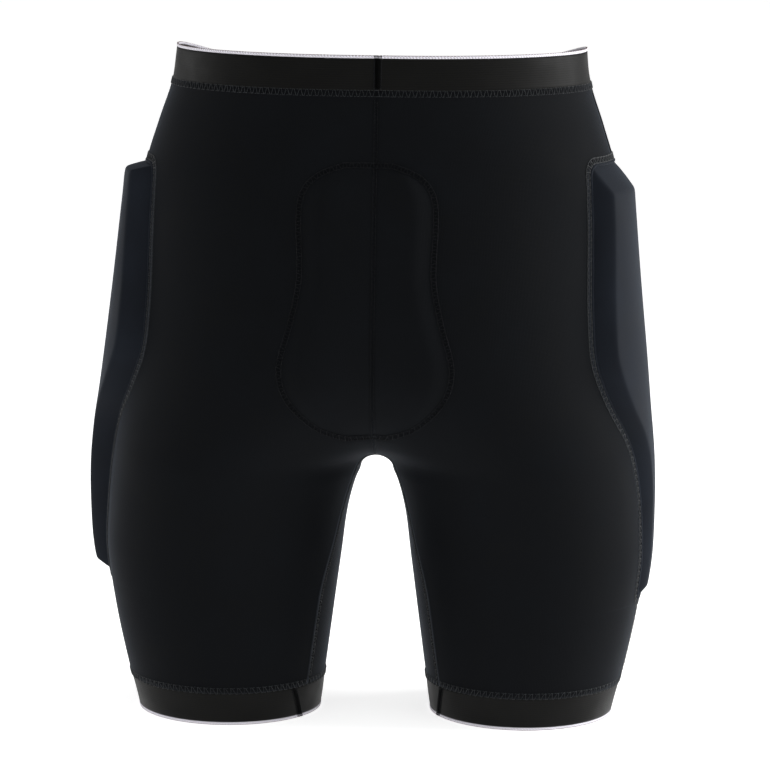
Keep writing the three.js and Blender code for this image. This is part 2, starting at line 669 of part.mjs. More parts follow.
const SEAM_CLEAR = 4;            // the tailbone seam steps over the centre-back seam within this
const TAIL_LOW_BEND = [0, 0.8, 3, 7, 12, 18, 26];
const TAIL_HIGH_BEND = [18, 12, 7, 3, 0.8, 0];
const tailSeamRows = [...TAIL_LOW_BEND.map((rise) => TAIL_BOTTOM + rise),
  ...steps(TAIL_BOTTOM + 26, TAIL_TOP - 18, 13).slice(1, -1),
  ...TAIL_HIGH_BEND.map((drop) => TAIL_TOP - drop)];
const tailPoints = outlinePoints(() => tailSeamRows, tailHalf, TAIL_BOTTOM, TAIL_TOP);
add('tailbone_seam', outlineRing(tailPoints, [0.6, 0.6 + STITCH_WIDTH * 0.8], (across, row, face) => {
  const step = (GAP + STITCH) * (1 - smooth((Math.abs(across) - SEAM_CLEAR) / SEAM_CLEAR));
  return atBack(across, row, (face === 'outer' ? GAP + STITCH : GAP) + step);
}), DARK_THREAD);

// ---------------------------------------------------------------- straight seams
const halfSeam = [-FINE_SEAM_WIDTH / 2, 0, FINE_SEAM_WIDTH / 2];
const seamTop = BAND_BOTTOM - STITCH_WIDTH - 1;

const backSeamRows = [riseHeight(-GUSSET_NARROW - 4), ...panelRows('left', -1)
  .filter((row) => row > riseHeight(-GUSSET_NARROW - 4) + 1 && row < seamTop - 1), seamTop];
add('centre_back_seam', slab(...sheetPair(backSeamRows, halfSeam, (row, across, face) => (
  atBack(across, row, tailSwell(across, row) + seamFaces(face))
))), DARK_THREAD);

const frontSeamRows = [riseHeight(GUSSET_NARROW + 4), ...panelRows('left', 1)
  .filter((row) => row > riseHeight(GUSSET_NARROW + 4) + 1 && row < seamTop - 1), seamTop];
add('centre_front_seam', slab(...sheetPair(frontSeamRows, halfSeam, (row, across, face) => (
  atFront(across, row, seamFaces(face))
))), DARK_THREAD);

for (const [name, side] of SIDES) {
  const spans = [
    ['upper', hipTop(name) + STITCH_WIDTH / 2 + 1.6, seamTop, 6],
    ['lower', ELASTIC_WIDTH + STITCH_WIDTH + 1, hipBottom(name) - STITCH_WIDTH / 2 - 1.5, 7],
  ];
  for (const [part, from, to, count] of spans) {
    add(`side_seam_${part}_${name}`, slab(...sheetPair(steps(from, to, count), halfSeam, (row, arc, face) => (
      atPad(name, side, row, arc, seamFaces(face))
    ))), DARK_THREAD);
  }
}

// ---------------------------------------------------------------- bands, edgings and their seams
const WAIST_STEPS = 16;          // half of the columns on each side of the body
const halfTurns = [...steps(-1, 0, WAIST_STEPS), ...steps(0, 1, WAIST_STEPS).slice(1)]
  .map((share) => turnAtArc(BAND_BOTTOM, share * fullArc(BAND_BOTTOM, share < 0 ? -1 : 1)));
const waistTurns = [...halfTurns.slice(0, -1).map((turn) => [1, turn]),
  ...[...halfTurns].reverse().slice(0, -1).map((turn) => [-1, turn])];
function waistRing(rows, outerHeight, innerHeight) {
  return slab(...sheetPair(waistTurns, rows, ([side, turn], row, face) => (
    atTurn(side, row, turn, face === 'outer' ? outerHeight : innerHeight)
  )), true);
}

const edgingBottom = WAIST_HEIGHT - EDGING_WIDTH;
add('waistband', waistRing([BAND_BOTTOM, edgingBottom - GAP], 0, -ELASTIC), BAND);
add('waistband_edging', waistRing([edgingBottom, WAIST_HEIGHT], 0, -ELASTIC), WOVEN_EDGE);
add('waist_seam', waistRing([BAND_BOTTOM - STITCH_WIDTH + 0.8, BAND_BOTTOM + 0.8], GAP + STITCH, GAP), THREAD);

const JOIN_STEPS = 2;
const joinFaces = (face) => GAP / 3 + (face === 'outer' ? STITCH : 0);
const joinRows = steps(BAND_BOTTOM + 1.6, edgingBottom - 1, JOIN_STEPS);
add('waistband_join', slab(...sheetPair(joinRows, [-JOIN_WIDTH / 2, 0, JOIN_WIDTH / 2], (row, across, face) => (
  atBack(across, row, joinFaces(face))
))), DARK_THREAD);

const HEM_STEPS = 38;
const JOIN_TURN = { left: -0.78, right: -0.83 };       // a leg band joins at the rear, near the inner leg
const JOIN_SWING = JOIN_WIDTH / 2 / 230;
for (const [name, side] of SIDES) {
  const turns = steps(-1, 1, HEM_STEPS).slice(0, -1);
  const ring = (place, rows, outerHeight, innerHeight) => slab(...sheetPair(turns, rows, (turn, row, face) => (
    place(side, row, turn, face === 'outer' ? outerHeight : innerHeight)
  )), true);
  const seamEdges = [ELASTIC_WIDTH - 0.8, ELASTIC_WIDTH + STITCH_WIDTH - 0.8];
  add(`leg_band_${name}`, ring(atRim, [EDGING_WIDTH + GAP, ELASTIC_WIDTH], 0, -ELASTIC), BAND);
  add(`leg_band_edging_${name}`, ring(atRim, [0, EDGING_WIDTH], 0, -ELASTIC), WOVEN_EDGE);
  add(`leg_seam_${name}`, ring(atTurn, seamEdges, GAP + STITCH, GAP), THREAD);
  const legJoinRows = steps(EDGING_WIDTH + 1.2, ELASTIC_WIDTH - 1.8, JOIN_STEPS);
  const joinTurns = [JOIN_TURN[name] - JOIN_SWING, JOIN_TURN[name] + JOIN_SWING];
  add(`leg_band_join_${name}`, slab(...sheetPair(legJoinRows, joinTurns, (row, turn, face) => (
    atTurn(side, row, turn, joinFaces(face))
  ))), DARK_THREAD);
}

// ---------------------------------------------------------------- stand on the hems, centred
const bounds = new THREE.Box3().setFromObject(group);
const centre = bounds.getCenter(new THREE.Vector3());
for (const mesh of group.children) {
  mesh.geometry.translate(-centre.x, -centre.y, -bounds.min.z);
}

export default group;
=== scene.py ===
import json
import math

import bmesh
import bpy
import numpy as np
from bpy.props import FloatProperty, FloatVectorProperty, PointerProperty
from mathutils import Matrix, Vector


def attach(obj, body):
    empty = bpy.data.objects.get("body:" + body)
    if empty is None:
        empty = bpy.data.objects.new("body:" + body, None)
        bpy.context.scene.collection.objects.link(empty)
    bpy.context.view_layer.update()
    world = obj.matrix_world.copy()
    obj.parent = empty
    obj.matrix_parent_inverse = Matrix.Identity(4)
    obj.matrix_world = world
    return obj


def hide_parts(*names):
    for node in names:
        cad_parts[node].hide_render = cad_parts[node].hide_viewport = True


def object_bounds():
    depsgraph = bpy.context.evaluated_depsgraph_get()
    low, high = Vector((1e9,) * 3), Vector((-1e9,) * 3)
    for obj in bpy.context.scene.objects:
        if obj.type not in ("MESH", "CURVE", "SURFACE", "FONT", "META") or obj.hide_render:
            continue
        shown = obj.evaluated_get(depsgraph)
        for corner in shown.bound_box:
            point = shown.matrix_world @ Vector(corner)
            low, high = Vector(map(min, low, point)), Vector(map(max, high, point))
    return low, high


bl_info = {
    "name": "Padded Impact Shorts",
    "version": (1, 0, 0),
    "blender": (4, 5, 0),
    "location": "View3D > Sidebar > Shorts",
    "description": "Builds padded snow sport shorts: panels, pads, elastic bands and stitching",
    "category": "Add Mesh",
}

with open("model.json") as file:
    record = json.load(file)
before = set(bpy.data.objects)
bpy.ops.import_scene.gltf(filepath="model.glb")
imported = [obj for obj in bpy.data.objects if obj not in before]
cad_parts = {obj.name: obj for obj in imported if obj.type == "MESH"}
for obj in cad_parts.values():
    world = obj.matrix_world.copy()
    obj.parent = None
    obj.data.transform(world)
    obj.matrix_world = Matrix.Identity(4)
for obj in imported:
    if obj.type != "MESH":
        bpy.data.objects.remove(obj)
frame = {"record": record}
CAD_BOUNDS = [list(corner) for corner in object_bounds()]

MM = 0.001
SIDES = (("left", -1), ("right", 1))
MOUNTS = {mount["name"]: mount for mount in frame["record"]["mounts"]}

GUSSET_NARROW = 22 * MM         # half width of the gusset at the crotch
GUSSET_WIDE = 38 * MM           # and low on the legs


# ---------------------------------------------------------------- settings
def linear(hex_colour):
    """A "#rrggbb" sRGB colour as linear red, green and blue."""
    shares = [int(hex_colour[k:k + 2], 16) / 255 for k in (1, 3, 5)]
    return tuple(s / 12.92 if s <= 0.04045 else ((s + 0.055) / 1.055) ** 2.4 for s in shares)


def length(name, description, default):
    return FloatProperty(name=name, description=description, default=default, min=0.0,
                         precision=4, subtype="DISTANCE", unit="LENGTH")


def colour(name, description, hex_colour):
    return FloatVectorProperty(name=name, description=description, default=linear(hex_colour),
                               size=3, min=0.0, max=1.0, subtype="COLOR")


class ShortsSizes(bpy.types.PropertyGroup):
    """Driving sizes of the shorts as worn."""

    waist_height: length("Waist height", "Hem to the rear waist rim", CAD_BOUNDS[1][2])
    crotch_height: length("Crotch height", "Hem to the lowest point of the crotch", 0.191)
    waist_half_width: length("Waist half width", "Centre plane to the side of the waist", 0.147)
    hem_half_width: length("Hem half width", "Centre plane to the outer side of a hem", 0.173)
    front_scoop: length("Front scoop", "Drop of the waist rim at centre front", 0.03)
    crotch_round: length("Crotch round", "How widely the legs blend into each other", 0.014)
    fabric: length("Fabric", "Thickness of the stretch knit", 0.0012)
    elastic: length("Elastic", "Thickness of the elastic bands", 0.0014)
    elastic_width: length("Elastic width", "Height of a band with its edging", 0.0245)
    edging_width: length("Edging width", "Height of the light woven edge", 0.0022)
    liner: length("Liner", "Thickness of the mesh liners", 0.0006)
    stitch_width: length("Stitch width", "Width of a flatlock seam", 0.0053)
    stitch_pitch: length("Stitch pitch", "Length of one stitch", 0.0024)
    thread: length("Thread", "Radius of the thread round the hip pads", 0.00028)
    band_thread: length("Band thread", "Radius of the thread at the waist and the hems", 0.00018)
    hip_rise_left: length("Left hip rise", "Thickest part of the left pad over the cloth", 0.018)
    hip_rise_right: length("Right hip rise", "Thickest part of the right pad over the cloth",
                           0.0145)
    hip_flange: length("Hip flange", "Flat stitched margin of a hip pad cover", 0.0036)
    hip_bevel: length("Hip bevel", "Width of the sloping wall of a hip pad", 0.008)
    hip_corner: length("Hip corner", "Rounding of the hip pad outline", 0.011)
    tail_rise: length("Tailbone rise", "Swell of the cloth over the tailbone pad", 0.0045)
    tail_depth: length("Tailbone depth", "Foam of the tailbone pad below the cloth", 0.005)
    tail_bevel: length("Tailbone bevel", "Sloping edge of the tailbone pad", 0.015)
    tail_shift: length("Tailbone shift", "Tailbone pad left of the centre seam", 0.005)


class ShortsColours(bpy.types.PropertyGroup):
    """Colours of the cloths, threads and foam."""

    knit: colour("Knit", "Blue-black polyamide and elastane jersey", "#0b0d10")
    # The pad cover colour is partly the smoother knit's own and partly painted light: it is lifted
    # so that the pad walls and faces look more brightly lit.
    cover: colour("Pad cover", "Smoother warp knit over the hip pads", "#1b1f26")
    elastic: colour("Elastic", "Warm black woven elastic", "#0b0b0a")
    edge: colour("Woven edge", "Off-white selvage of the elastic", "#e6e3ec")
    edge_thread: colour("Selvage thread", "Reddish brown outermost thread", "#5a3f3c")
    thread: colour("Seam thread", "Grey texturised polyester", "#232629")
    dark_thread: colour("Dark thread", "Black texturised polyester", "#0e0f12")
    foam: colour("Foam", "Dark grey closed-cell foam", "#2b2e33")
    mesh: colour("Mesh liner", "Black tricot mesh", "#0f1114")


# ---------------------------------------------------------------- small helpers
def mix(a, b, t):
    return a + (b - a) * t


def smooth(t):
    c = np.clip(t, 0.0, 1.0)
    return c * c * (3 - 2 * c)


def bump(distance, width):
    """A soft ridge, 1 on the line and fading over the width."""
    return np.exp(-(distance / width) ** 2)


def curve(points):
    """A smooth curve through (position, value) points."""
    places, values = np.array(points, float).T
    slopes = np.diff(values) / np.diff(places)
    tangents = np.concatenate((slopes[:1], (slopes[1:] + slopes[:-1]) / 2, slopes[-1:]))

    def value(position):
        k = np.clip(np.searchsorted(places, position) - 1, 0, len(slopes) - 1)
        span = places[k + 1] - places[k]
        t = np.clip((position - places[k]) / span, 0.0, 1.0)
        t2 = t * t
        t3 = t2 * t
        return ((2 * t3 - 3 * t2 + 1) * values[k] + (t3 - 2 * t2 + t) * span * tangents[k]
                + (-2 * t3 + 3 * t2) * values[k + 1] + (t3 - t2) * span * tangents[k + 1])

    return value


def spread(*stops):
    """Joined runs of evenly spaced values: start, (count, end), (count, end) and so on."""
    values = [stops[0]]
    for count, end in stops[1:]:
        values.extend(np.linspace(values[-1], end, count + 1)[1:])
    return np.array(values)


def resample(points, step, closed):
    """Points a whole number of even steps apart along a line of (arc, row) points."""
    line = np.array(points, float)
    if closed:
        line = np.vstack([line, line[:1]])
    run = np.concatenate(([0.0], np.cumsum(np.hypot(*np.diff(line, axis=0).T))))
    count = max(int(round(run[-1] / step)), 2)
    at = np.linspace(0.0, run[-1], count + 1)
    if closed:
        at = at[:-1]
    return np.stack([np.interp(at, run, line[:, k]) for k in (0, 1)], axis=1)


def sideways(line, closed):
    """Unit directions to the right of travel along a line of (arc, row) points."""
    if closed:
        run = np.roll(line, -1, axis=0) - np.roll(line, 1, axis=0)
    else:
        run = np.gradient(line, axis=0)
    run /= np.linalg.norm(run, axis=1, keepdims=True)
    return np.stack([run[:, 1], -run[:, 0]], axis=1)


# ---------------------------------------------------------------- body form
class BodyForm:
    """The worn shape: each level is an ellipse in a widened cross coordinate.

    Side is -1 for left and 1 for right. Turn runs from -1 at centre back or inseam over 0 at
    the side to 1 at centre front or inseam. Arc is the length from the side line, negative
    toward the back. Row is the height before the front scoop.
    """

    ARC_STEPS = 120
    PROBE = 0.25 * MM

    def __init__(self, sizes):
        self.sizes = sizes
        self.crotch = sizes.crotch_height
        self.waist = sizes.waist_height
        self.round = sizes.crotch_round
        hem, waist, tight = sizes.hem_half_width, sizes.waist_half_width, sizes.crotch_round
        leg, torso = self.leg, self.torso
        self.outer = curve([
            (leg(0), hem), (leg(0.21), hem * 1.055), (leg(0.42), hem * 1.1),
            (leg(0.63), hem * 1.13), (leg(0.8), hem * 1.125), (torso(0), hem * 1.104),
            (torso(0.167), hem * 1.058), (torso(0.39), waist * 1.194),
            (torso(0.63), waist * 1.157), (torso(0.711), waist * 1.146),
            (torso(0.813), waist * 1.088), (torso(0.915), waist * 1.022), (torso(1), waist)])
        self.inner = curve([
            (leg(0), tight * 3.05), (leg(0.36), tight * 2.46), (leg(0.61), tight * 2.06),
            (leg(0.8), tight * 1.76), (leg(0.93), tight * 1.36), (torso(0), tight),
            (torso(0.04), tight * -0.03), (torso(0.165), tight * -3.5),
            (torso(0.3), tight * -5.9), (torso(0.5), tight * -7.3), (torso(1), tight * -8.4)])
        self.rear = curve([
            (leg(0), 0.072), (leg(0.3), 0.079), (leg(0.63), 0.087), (torso(0), 0.1),
            (torso(0.167), 0.109), (torso(0.37), 0.112), (torso(0.6), 0.108),
            (torso(0.8), 0.103), (torso(1), 0.1)])
        self.front = curve([
            (leg(0), 0.072), (leg(0.3), 0.077), (leg(0.63), 0.084), (torso(0), 0.093),
            (torso(0.167), 0.098), (torso(0.37), 0.1), (torso(0.6), 0.099),
            (torso(0.8), 0.098), (torso(1), 0.097)])
        self.middle = curve([
            (leg(0), 0.0), (leg(0.4), -0.009), (torso(0), -0.013), (torso(0.25), -0.014),
            (torso(0.6), -0.007), (torso(0.85), 0.0), (torso(1), 0.002)])
        self.band_bottom = self.waist - sizes.elastic_width
        self.scoop_start = torso(0.45)
        self.scoop_end = self.band_bottom - sizes.stitch_width
        hems = [MOUNTS[f"hem_{name}"]["pos_m"] for name, _ in SIDES]
        self.axis = np.mean(hems, axis=0)

    def leg(self, share):
        return share * self.crotch

    def torso(self, share):
        return mix(self.crotch, self.waist, share)

    def level(self, z):
        """Centre, half width, rear depth, front depth and middle line of a level."""
        outer = np.hypot(self.outer(z), self.round)
        inner = self.inner(z)
        centre, half = (outer + inner) / 2, (outer - inner) / 2
        return centre, half, self.rear(z), self.front(z), self.middle(z)

    def end_angle(self, at):
        """Angle at which a level meets the centre plane, a half turn below the crotch."""
        return np.arccos(np.clip((self.round - at[0]) / at[1], -1.0, 1.0))

    def level_point(self, at, angle):
        centre, half, rear, front, middle = at
        wide = centre + half * np.cos(angle)
        x = np.sqrt(np.maximum(wide * wide - self.round ** 2, 0.0))
        return x, middle + np.where(angle < 0, rear, front) * np.sin(angle)

    def value(self, x, y, z):
        centre, half, rear, front, middle = self.level(z)
        across = (np.hypot(x, self.round) - centre) / half
        along = (y - middle) / np.where(y < middle, rear, front)
        return across ** 2 + along ** 2

    def normal(self, x, y, z):
        p = self.PROBE
        slope = np.stack([
            self.value(x + p, y, z) - self.value(x - p, y, z),
            self.value(x, y + p, z) - self.value(x, y - p, z),
            self.value(x, y, z + p) - self.value(x, y, z - p)], axis=-1)
        return slope / np.linalg.norm(slope, axis=-1, keepdims=True)

    def raised(self, x, y, z, height):
        """Points lifted off the form by the height, in the frame of the part."""
        x, y, z, height = np.broadcast_arrays(x, y, z, height)
        return np.stack([x, y, z], axis=-1) + self.normal(x, y, z) * height[..., None] + self.axis

    def row_height(self, row, turn):
        """Rows sink toward centre front above the start of the scoop."""
        frontness = np.where(turn > 0, np.sin(turn * math.pi / 2) ** 2, 0.0)
        share = (row - self.scoop_start) / (self.scoop_end - self.scoop_start)
        return row - self.sizes.front_scoop * frontness * smooth(share)

    def at_turn(self, side, row, turn, height):
        z = self.row_height(row, turn)
        at = self.level(z)
        x, y = self.level_point(at, turn * self.end_angle(at))
        return self.raised(side * x, y, z, height)

    def at_rim(self, side, row, turn, height):
        """As at_turn, but lifted level with the ground, so that a rim stays flat."""
        face = self.at_turn(side, row, turn, 0.0)
        away = self.at_turn(side, row, turn, MM) - face
        away[..., 2] = 0.0
        away /= np.linalg.norm(away, axis=-1, keepdims=True)
        return face + away * np.broadcast_to(height, face.shape[:-1])[..., None]

    def arcs(self, row, sign):
        """Lengths from the side line at even shares of each row, one line for each row given."""
        rows, place = np.unique(np.round(row, 8), return_inverse=True)
        at = [part[:, None] for part in self.level(rows)]
        shares = np.sin(np.linspace(0.0, math.pi / 2, self.ARC_STEPS + 1))
        x, y = self.level_point(at, sign * self.end_angle(at) * shares)
        run = np.cumsum(np.hypot(np.diff(x, axis=1), np.diff(y, axis=1)), axis=1)
        return np.concatenate([np.zeros((len(rows), 1)), run], axis=1)[place.ravel()]

    def full_arc(self, row, sign):
        row = np.asarray(row, float)
        return self.arcs(row.ravel(), sign)[:, -1].reshape(row.shape)

    def turn_at_arc(self, row, arc):
        row, arc = np.broadcast_arrays(np.asarray(row, float), np.asarray(arc, float))
        turn = np.zeros(arc.size)
        flat_row, flat_arc = row.ravel(), arc.ravel()
        for sign, picked in ((-1, flat_arc < 0), (1, flat_arc >= 0)):
            if not picked.any():
                continue
            lengths = self.arcs(flat_row[picked], sign)
            wanted = np.clip(np.abs(flat_arc[picked]), 0.0, lengths[:, -1])
            k = (lengths[:, 1:-1] < wanted[:, None]).sum(axis=1)
            line = np.arange(len(k))
            low, high = lengths[line, k], lengths[line, k + 1]
            share = (k + (wanted - low) / (high - low)) / self.ARC_STEPS
            turn[picked] = sign * np.sin(share * math.pi / 2)
        return turn.reshape(arc.shape)

    def arc_at_turn(self, row, turn):
        """Arc of a turn on each row; all turns given lie on one side of the side line."""
        row, turn = np.broadcast_arrays(np.asarray(row, float), np.asarray(turn, float))
        sign = -1 if turn.ravel()[0] < 0 else 1
        place = np.arcsin(np.clip(np.abs(turn), 0.0, 1.0)) / (math.pi / 2) * self.ARC_STEPS
        k = np.minimum(place.astype(int), self.ARC_STEPS - 1).ravel()
        lengths = self.arcs(row.ravel(), sign)
        line = np.arange(len(k))
        arc = mix(lengths[line, k], lengths[line, k + 1], place.ravel() - k)
        return sign * arc.reshape(row.shape)

    def at_side(self, side, row, arc, height):
        return self.at_turn(side, row, self.turn_at_arc(row, arc), height)

    def at_back(self, across, row, height):
        """Across is measured from the centre-back line, positive to the right."""
        side = np.where(across < 0, -1, 1)
        return self.at_side(side, row, np.abs(across) - self.full_arc(row, -1), height)

    def at_front(self, across, row, height):
        side = np.where(across < 0, -1, 1)
        return self.at_side(side, row, self.full_arc(row, 1) - np.abs(across), height)

    # ---- gusset strip between the legs
    def gusset_half(self, z):
        share = (z - self.leg(0.45)) / (self.leg(0.88) - self.leg(0.45))
        return mix(GUSSET_WIDE, GUSSET_NARROW, smooth(share))

    def rise_height(self, offset):
        """Height at which the form crosses the centre plane, this far from the middle line."""
        offset = np.asarray(offset, float)
        low = np.full(offset.shape, self.crotch - MM)
        high = np.full(offset.shape, self.torso(0.3))
        for _ in range(36):
            z = (low + high) / 2
            centre, half, rear, front, _ = self.level(z)
            across = (self.round - centre) / half
            along = offset / np.where(offset < 0, rear, front)
            outside = across ** 2 + along ** 2 > 1
            low = np.where(outside, z, low)
            high = np.where(outside, high, z)
        return high

    def gusset_spot(self, along, share, extra):
        """Height and offset from the middle line; along runs from -1 left to 1 right."""
        z = np.full(np.broadcast(along, share).shape, self.leg(0.9))
        offset = z * 0
        for _ in range(12):
            offset = share * self.gusset_half(z) + extra
            z = mix(self.rise_height(offset), self.sizes.elastic_width, along ** 2)
        return z, offset

    def at_gusset(self, along, share, extra, height):
        z, offset = self.gusset_spot(along, share, extra)
        centre, half, rear, front, middle = self.level(z)
        depth = np.where(offset < 0, rear, front)
        wide = centre - half * np.sqrt(1 - (offset / depth) ** 2)
        x = np.sqrt(np.maximum(wide * wide - self.round ** 2, 0.0))
        return self.raised(np.sign(along) * x, middle + offset, z, height)

    def inner_arc(self, row, sign):
        """Arc of the gusset edge on a row, or of the centre line above the crotch."""
        at = self.level(row)
        depth = at[2] if sign < 0 else at[3]
        edge = math.pi - np.arcsin(self.gusset_half(row) / depth)
        return self.arc_at_turn(row, sign * np.minimum(edge / self.end_angle(at), 1.0))


# ---------------------------------------------------------------- pad outlines
class PadOutlines:
    """Outlines of the hip pads and of the tailbone pad, on the form.

    Tops and bottoms are shares of the torso and of the leg. Outlines are pairs of a share of
    the height and a half width, in millimetres, as are twists, walls and seam places.
    """

    HIP_TOP = {"left": 0.722, "right": 0.735}
    HIP_BOTTOM = {"left": 0.51, "right": 0.455}
    HIP_TWIST = {"left": -7, "right": 11}
    HIP_TOP_WALL = {"left": 5.5, "right": 19}
    HIP_CREST = 1.45                # 1 is a straight wall; more rounds it over into the face
    CORNER_BENDS = np.array([0.0, 0.02, 0.07, 0.16, 0.3, 0.5, 0.75, 1.0])   # rows in a corner
    HIP_HALF = {
        "left": ((0, 14), (0.14, 15), (0.27, 18), (0.38, 25), (0.46, 43), (0.56, 59), (0.65, 59),
                 (0.88, 49), (1, 47)),
        "right": ((0, 15), (0.14, 18), (0.27, 21), (0.38, 32), (0.46, 48), (0.56, 60), (0.65, 59),
                  (0.88, 49), (1, 47)),
    }
    HIP_THICK = {
        "left": ((0, 0.55), (0.14, 0.76), (0.27, 0.94), (0.4, 1), (0.6, 1), (1, 0.84)),
        "right": ((0, 0.34), (0.14, 0.42), (0.27, 0.62), (0.4, 0.8), (0.5, 0.94), (0.6, 1),
                  (1, 0.94)),
    }
    TAIL_HALF = ((0.082, 16), (0.105, 32), (0.135, 43), (0.17, 52), (0.21, 58), (0.262, 60),
                 (0.371, 52), (0.466, 46.5), (0.639, 47), (0.67, 45.5), (0.697, 41), (0.722, 31),
                 (0.74, 16))
    TAIL_STITCH = 0.6               # the seam lies this far outside the foam's outline
    TAIL_GROOVE_WIDTH = 2.2         # the cloth is pulled in along the seam over this width
    TAIL_GROOVE_DEPTH = 0.55
    TAIL_LOW_SLOPE = 0.35           # the foam thins out over a longer stretch at its lower end

    def __init__(self, form):
        self.form = form
        self.sizes = form.sizes
        self.hip_half_curve = {name: curve(points) for name, points in self.HIP_HALF.items()}
        self.hip_thick_curve = {name: curve(points) for name, points in self.HIP_THICK.items()}
        self.tail_half_curve = curve(self.TAIL_HALF)
        self.tail_bottom = form.torso(self.TAIL_HALF[0][0])
        self.tail_top = form.torso(self.TAIL_HALF[-1][0])

    def hip_span(self, name):
        return self.form.leg(self.HIP_BOTTOM[name]), self.form.torso(self.HIP_TOP[name])

    def twist(self, name):
        """How far the side line and its pad sit toward the back."""
        return self.HIP_TWIST[name] * MM

    def hip_half(self, name, row):
        low, high = self.hip_span(name)
        share = np.clip((row - low) / (high - low), 0.0, 1.0)
        corner = self.sizes.hip_corner
        t = np.clip(1 - np.minimum(row - low, high - row) / corner, 0.0, 1.0)
        return self.hip_half_curve[name](share) * MM - corner * (1 - np.sqrt(1 - t * t))

    def hip_lift(self, name, row, inset):
        """Height of the cover above the cloth, by its distance from the outline."""
        low, high = self.hip_span(name)
        rise = getattr(self.sizes, f"hip_rise_{name}")
        thick = rise * self.hip_thick_curve[name]((row - low) / (high - low))

        def wall(distance, width):
            return np.clip((distance - self.sizes.hip_flange) / width, 0.0, 1.0)

        ends = np.minimum(wall(row - low, self.sizes.hip_bevel),
                          wall(high - row, self.HIP_TOP_WALL[name] * MM))
        sides = 1 - (1 - wall(inset, self.sizes.hip_bevel)) ** self.HIP_CREST
        return thick * np.minimum(sides, ends)

    def tail_half(self, row, side):
        share = np.clip(row, self.tail_bottom, self.tail_top) - self.form.crotch
        share /= self.form.waist - self.form.crotch
        return self.tail_half_curve(share) * MM - side * self.sizes.tail_shift

    def tail_inside(self, across, row):
        """Distance inside the tailbone outline, negative outside."""
        edge = self.tail_half(row, np.where(across < 0, -1, 1)) - np.abs(across)
        above = row - self.tail_bottom
        above = np.where(above > 0, above * self.TAIL_LOW_SLOPE, above)
        return np.minimum(edge, np.minimum(above, self.tail_top - row))

    def tail_swell(self, across, row):
        inside = self.tail_inside(across, row)
        crest = smooth(inside / self.sizes.tail_bevel)
        groove = bump(inside + self.TAIL_STITCH * MM, self.TAIL_GROOVE_WIDTH * MM)
        return self.sizes.tail_rise * crest - self.TAIL_GROOVE_DEPTH * MM * groove


# ---------------------------------------------------------------- materials
def add_node(tree, kind, settings=None, **inputs):
    """Adds a node. An input, by name or as _number, is a value or what feeds it: an output
    socket, or a node for its first output."""
    node = tree.nodes.new(kind)
    for name, value in (settings or {}).items():
        setattr(node, name, value)
    for name, value in inputs.items():
        key = int(name[1:]) if name[1:].isdigit() else name.replace("_", " ")
        if isinstance(value, bpy.types.Node):
            value = value.outputs[0]
        if isinstance(value, bpy.types.NodeSocket):
            tree.links.new(value, node.inputs[key])
        else:
            node.inputs[key].default_value = value
    return node


def bands_for(period):
    """Scale that gives a Wave texture one band for each period, in metres."""
    return 2 * math.pi / (20 * period)


def ramp_colours(node, *stops):
    """Sets the stops of a Color Ramp node from (position, linear colour) pairs."""
    elements = node.color_ramp.elements
    while len(elements) < len(stops):
        elements.new(0.5)
    for element, (position, shade) in zip(elements, stops):
        element.position = position
        element.color = (*shade, 1.0)


def scaled(shade, factor):
    return tuple(min(channel * factor, 1.0) for channel in shade)


def new_material(name, shade):
    """An empty node material with its preview colour."""
    material = bpy.data.materials.new(name)
    material.use_nodes = True
    material.diffuse_color = (*shade, 1.0)
    material.node_tree.nodes.clear()
    return material


def finish_with(tree, **sockets):
    """Ends a material with its shader."""
    shader = add_node(tree, "ShaderNodeBsdfPrincipled", **sockets)
    add_node(tree, "ShaderNodeOutputMaterial", Surface=shader)


def stretch_knit(tree, shade, wale, relief, sheen, roughness):
    """Fine stretch jersey: loops in wales and courses give a soft, matt cloth that lightens
    where it is seen edge on. Real loops are 0.4 mm wide, too fine to show, so they are drawn
    at the wale spacing given."""
    space = add_node(tree, "ShaderNodeTexCoord").outputs
    wales = add_node(tree, "ShaderNodeTexWave", {"bands_direction": "X"}, Vector=space["UV"],
                     Scale=bands_for(wale), Distortion=0.6, Detail=1.0)
    courses = add_node(tree, "ShaderNodeTexWave", {"bands_direction": "Y"}, Vector=space["UV"],
                       Scale=bands_for(wale * 0.8), Distortion=0.8, Detail=1.0)
    loops = add_node(tree, "ShaderNodeMath", {"operation": "MULTIPLY"},
                     _0=wales.outputs["Fac"], _1=courses.outputs["Fac"])
    cloud = add_node(tree, "ShaderNodeTexNoise", Vector=space["Object"], Scale=28.0, Detail=4.0)
    lint = add_node(tree, "ShaderNodeTexNoise", Vector=space["Object"], Scale=900.0, Detail=2.0)
    tone = add_node(tree, "ShaderNodeMath", {"operation": "MULTIPLY_ADD"}, _0=lint, _1=0.35,
                    _2=cloud)
    tint = add_node(tree, "ShaderNodeValToRGB", Fac=tone)
    ramp_colours(tint, (0.45, scaled(shade, 0.82)), (0.7, shade), (0.95, scaled(shade, 1.25)))
    shaded = add_node(tree, "ShaderNodeMix", {"data_type": "RGBA", "blend_type": "MULTIPLY"},
                      _0=0.3, _6=tint, _7=loops)
    rough = add_node(tree, "ShaderNodeMapRange", Value=tone, From_Min=0.4, From_Max=1.0,
                     To_Min=roughness - 0.05, To_Max=roughness + 0.07)
    stitches = add_node(tree, "ShaderNodeBump", Height=loops, Strength=0.55, Distance=relief)
    finish_with(tree, Base_Color=shaded.outputs[2], Roughness=rough, Normal=stitches,
                Specular_IOR_Level=0.07, Sheen_Weight=sheen, Sheen_Roughness=0.3,
                Sheen_Tint=(0.62, 0.72, 0.9, 1.0))


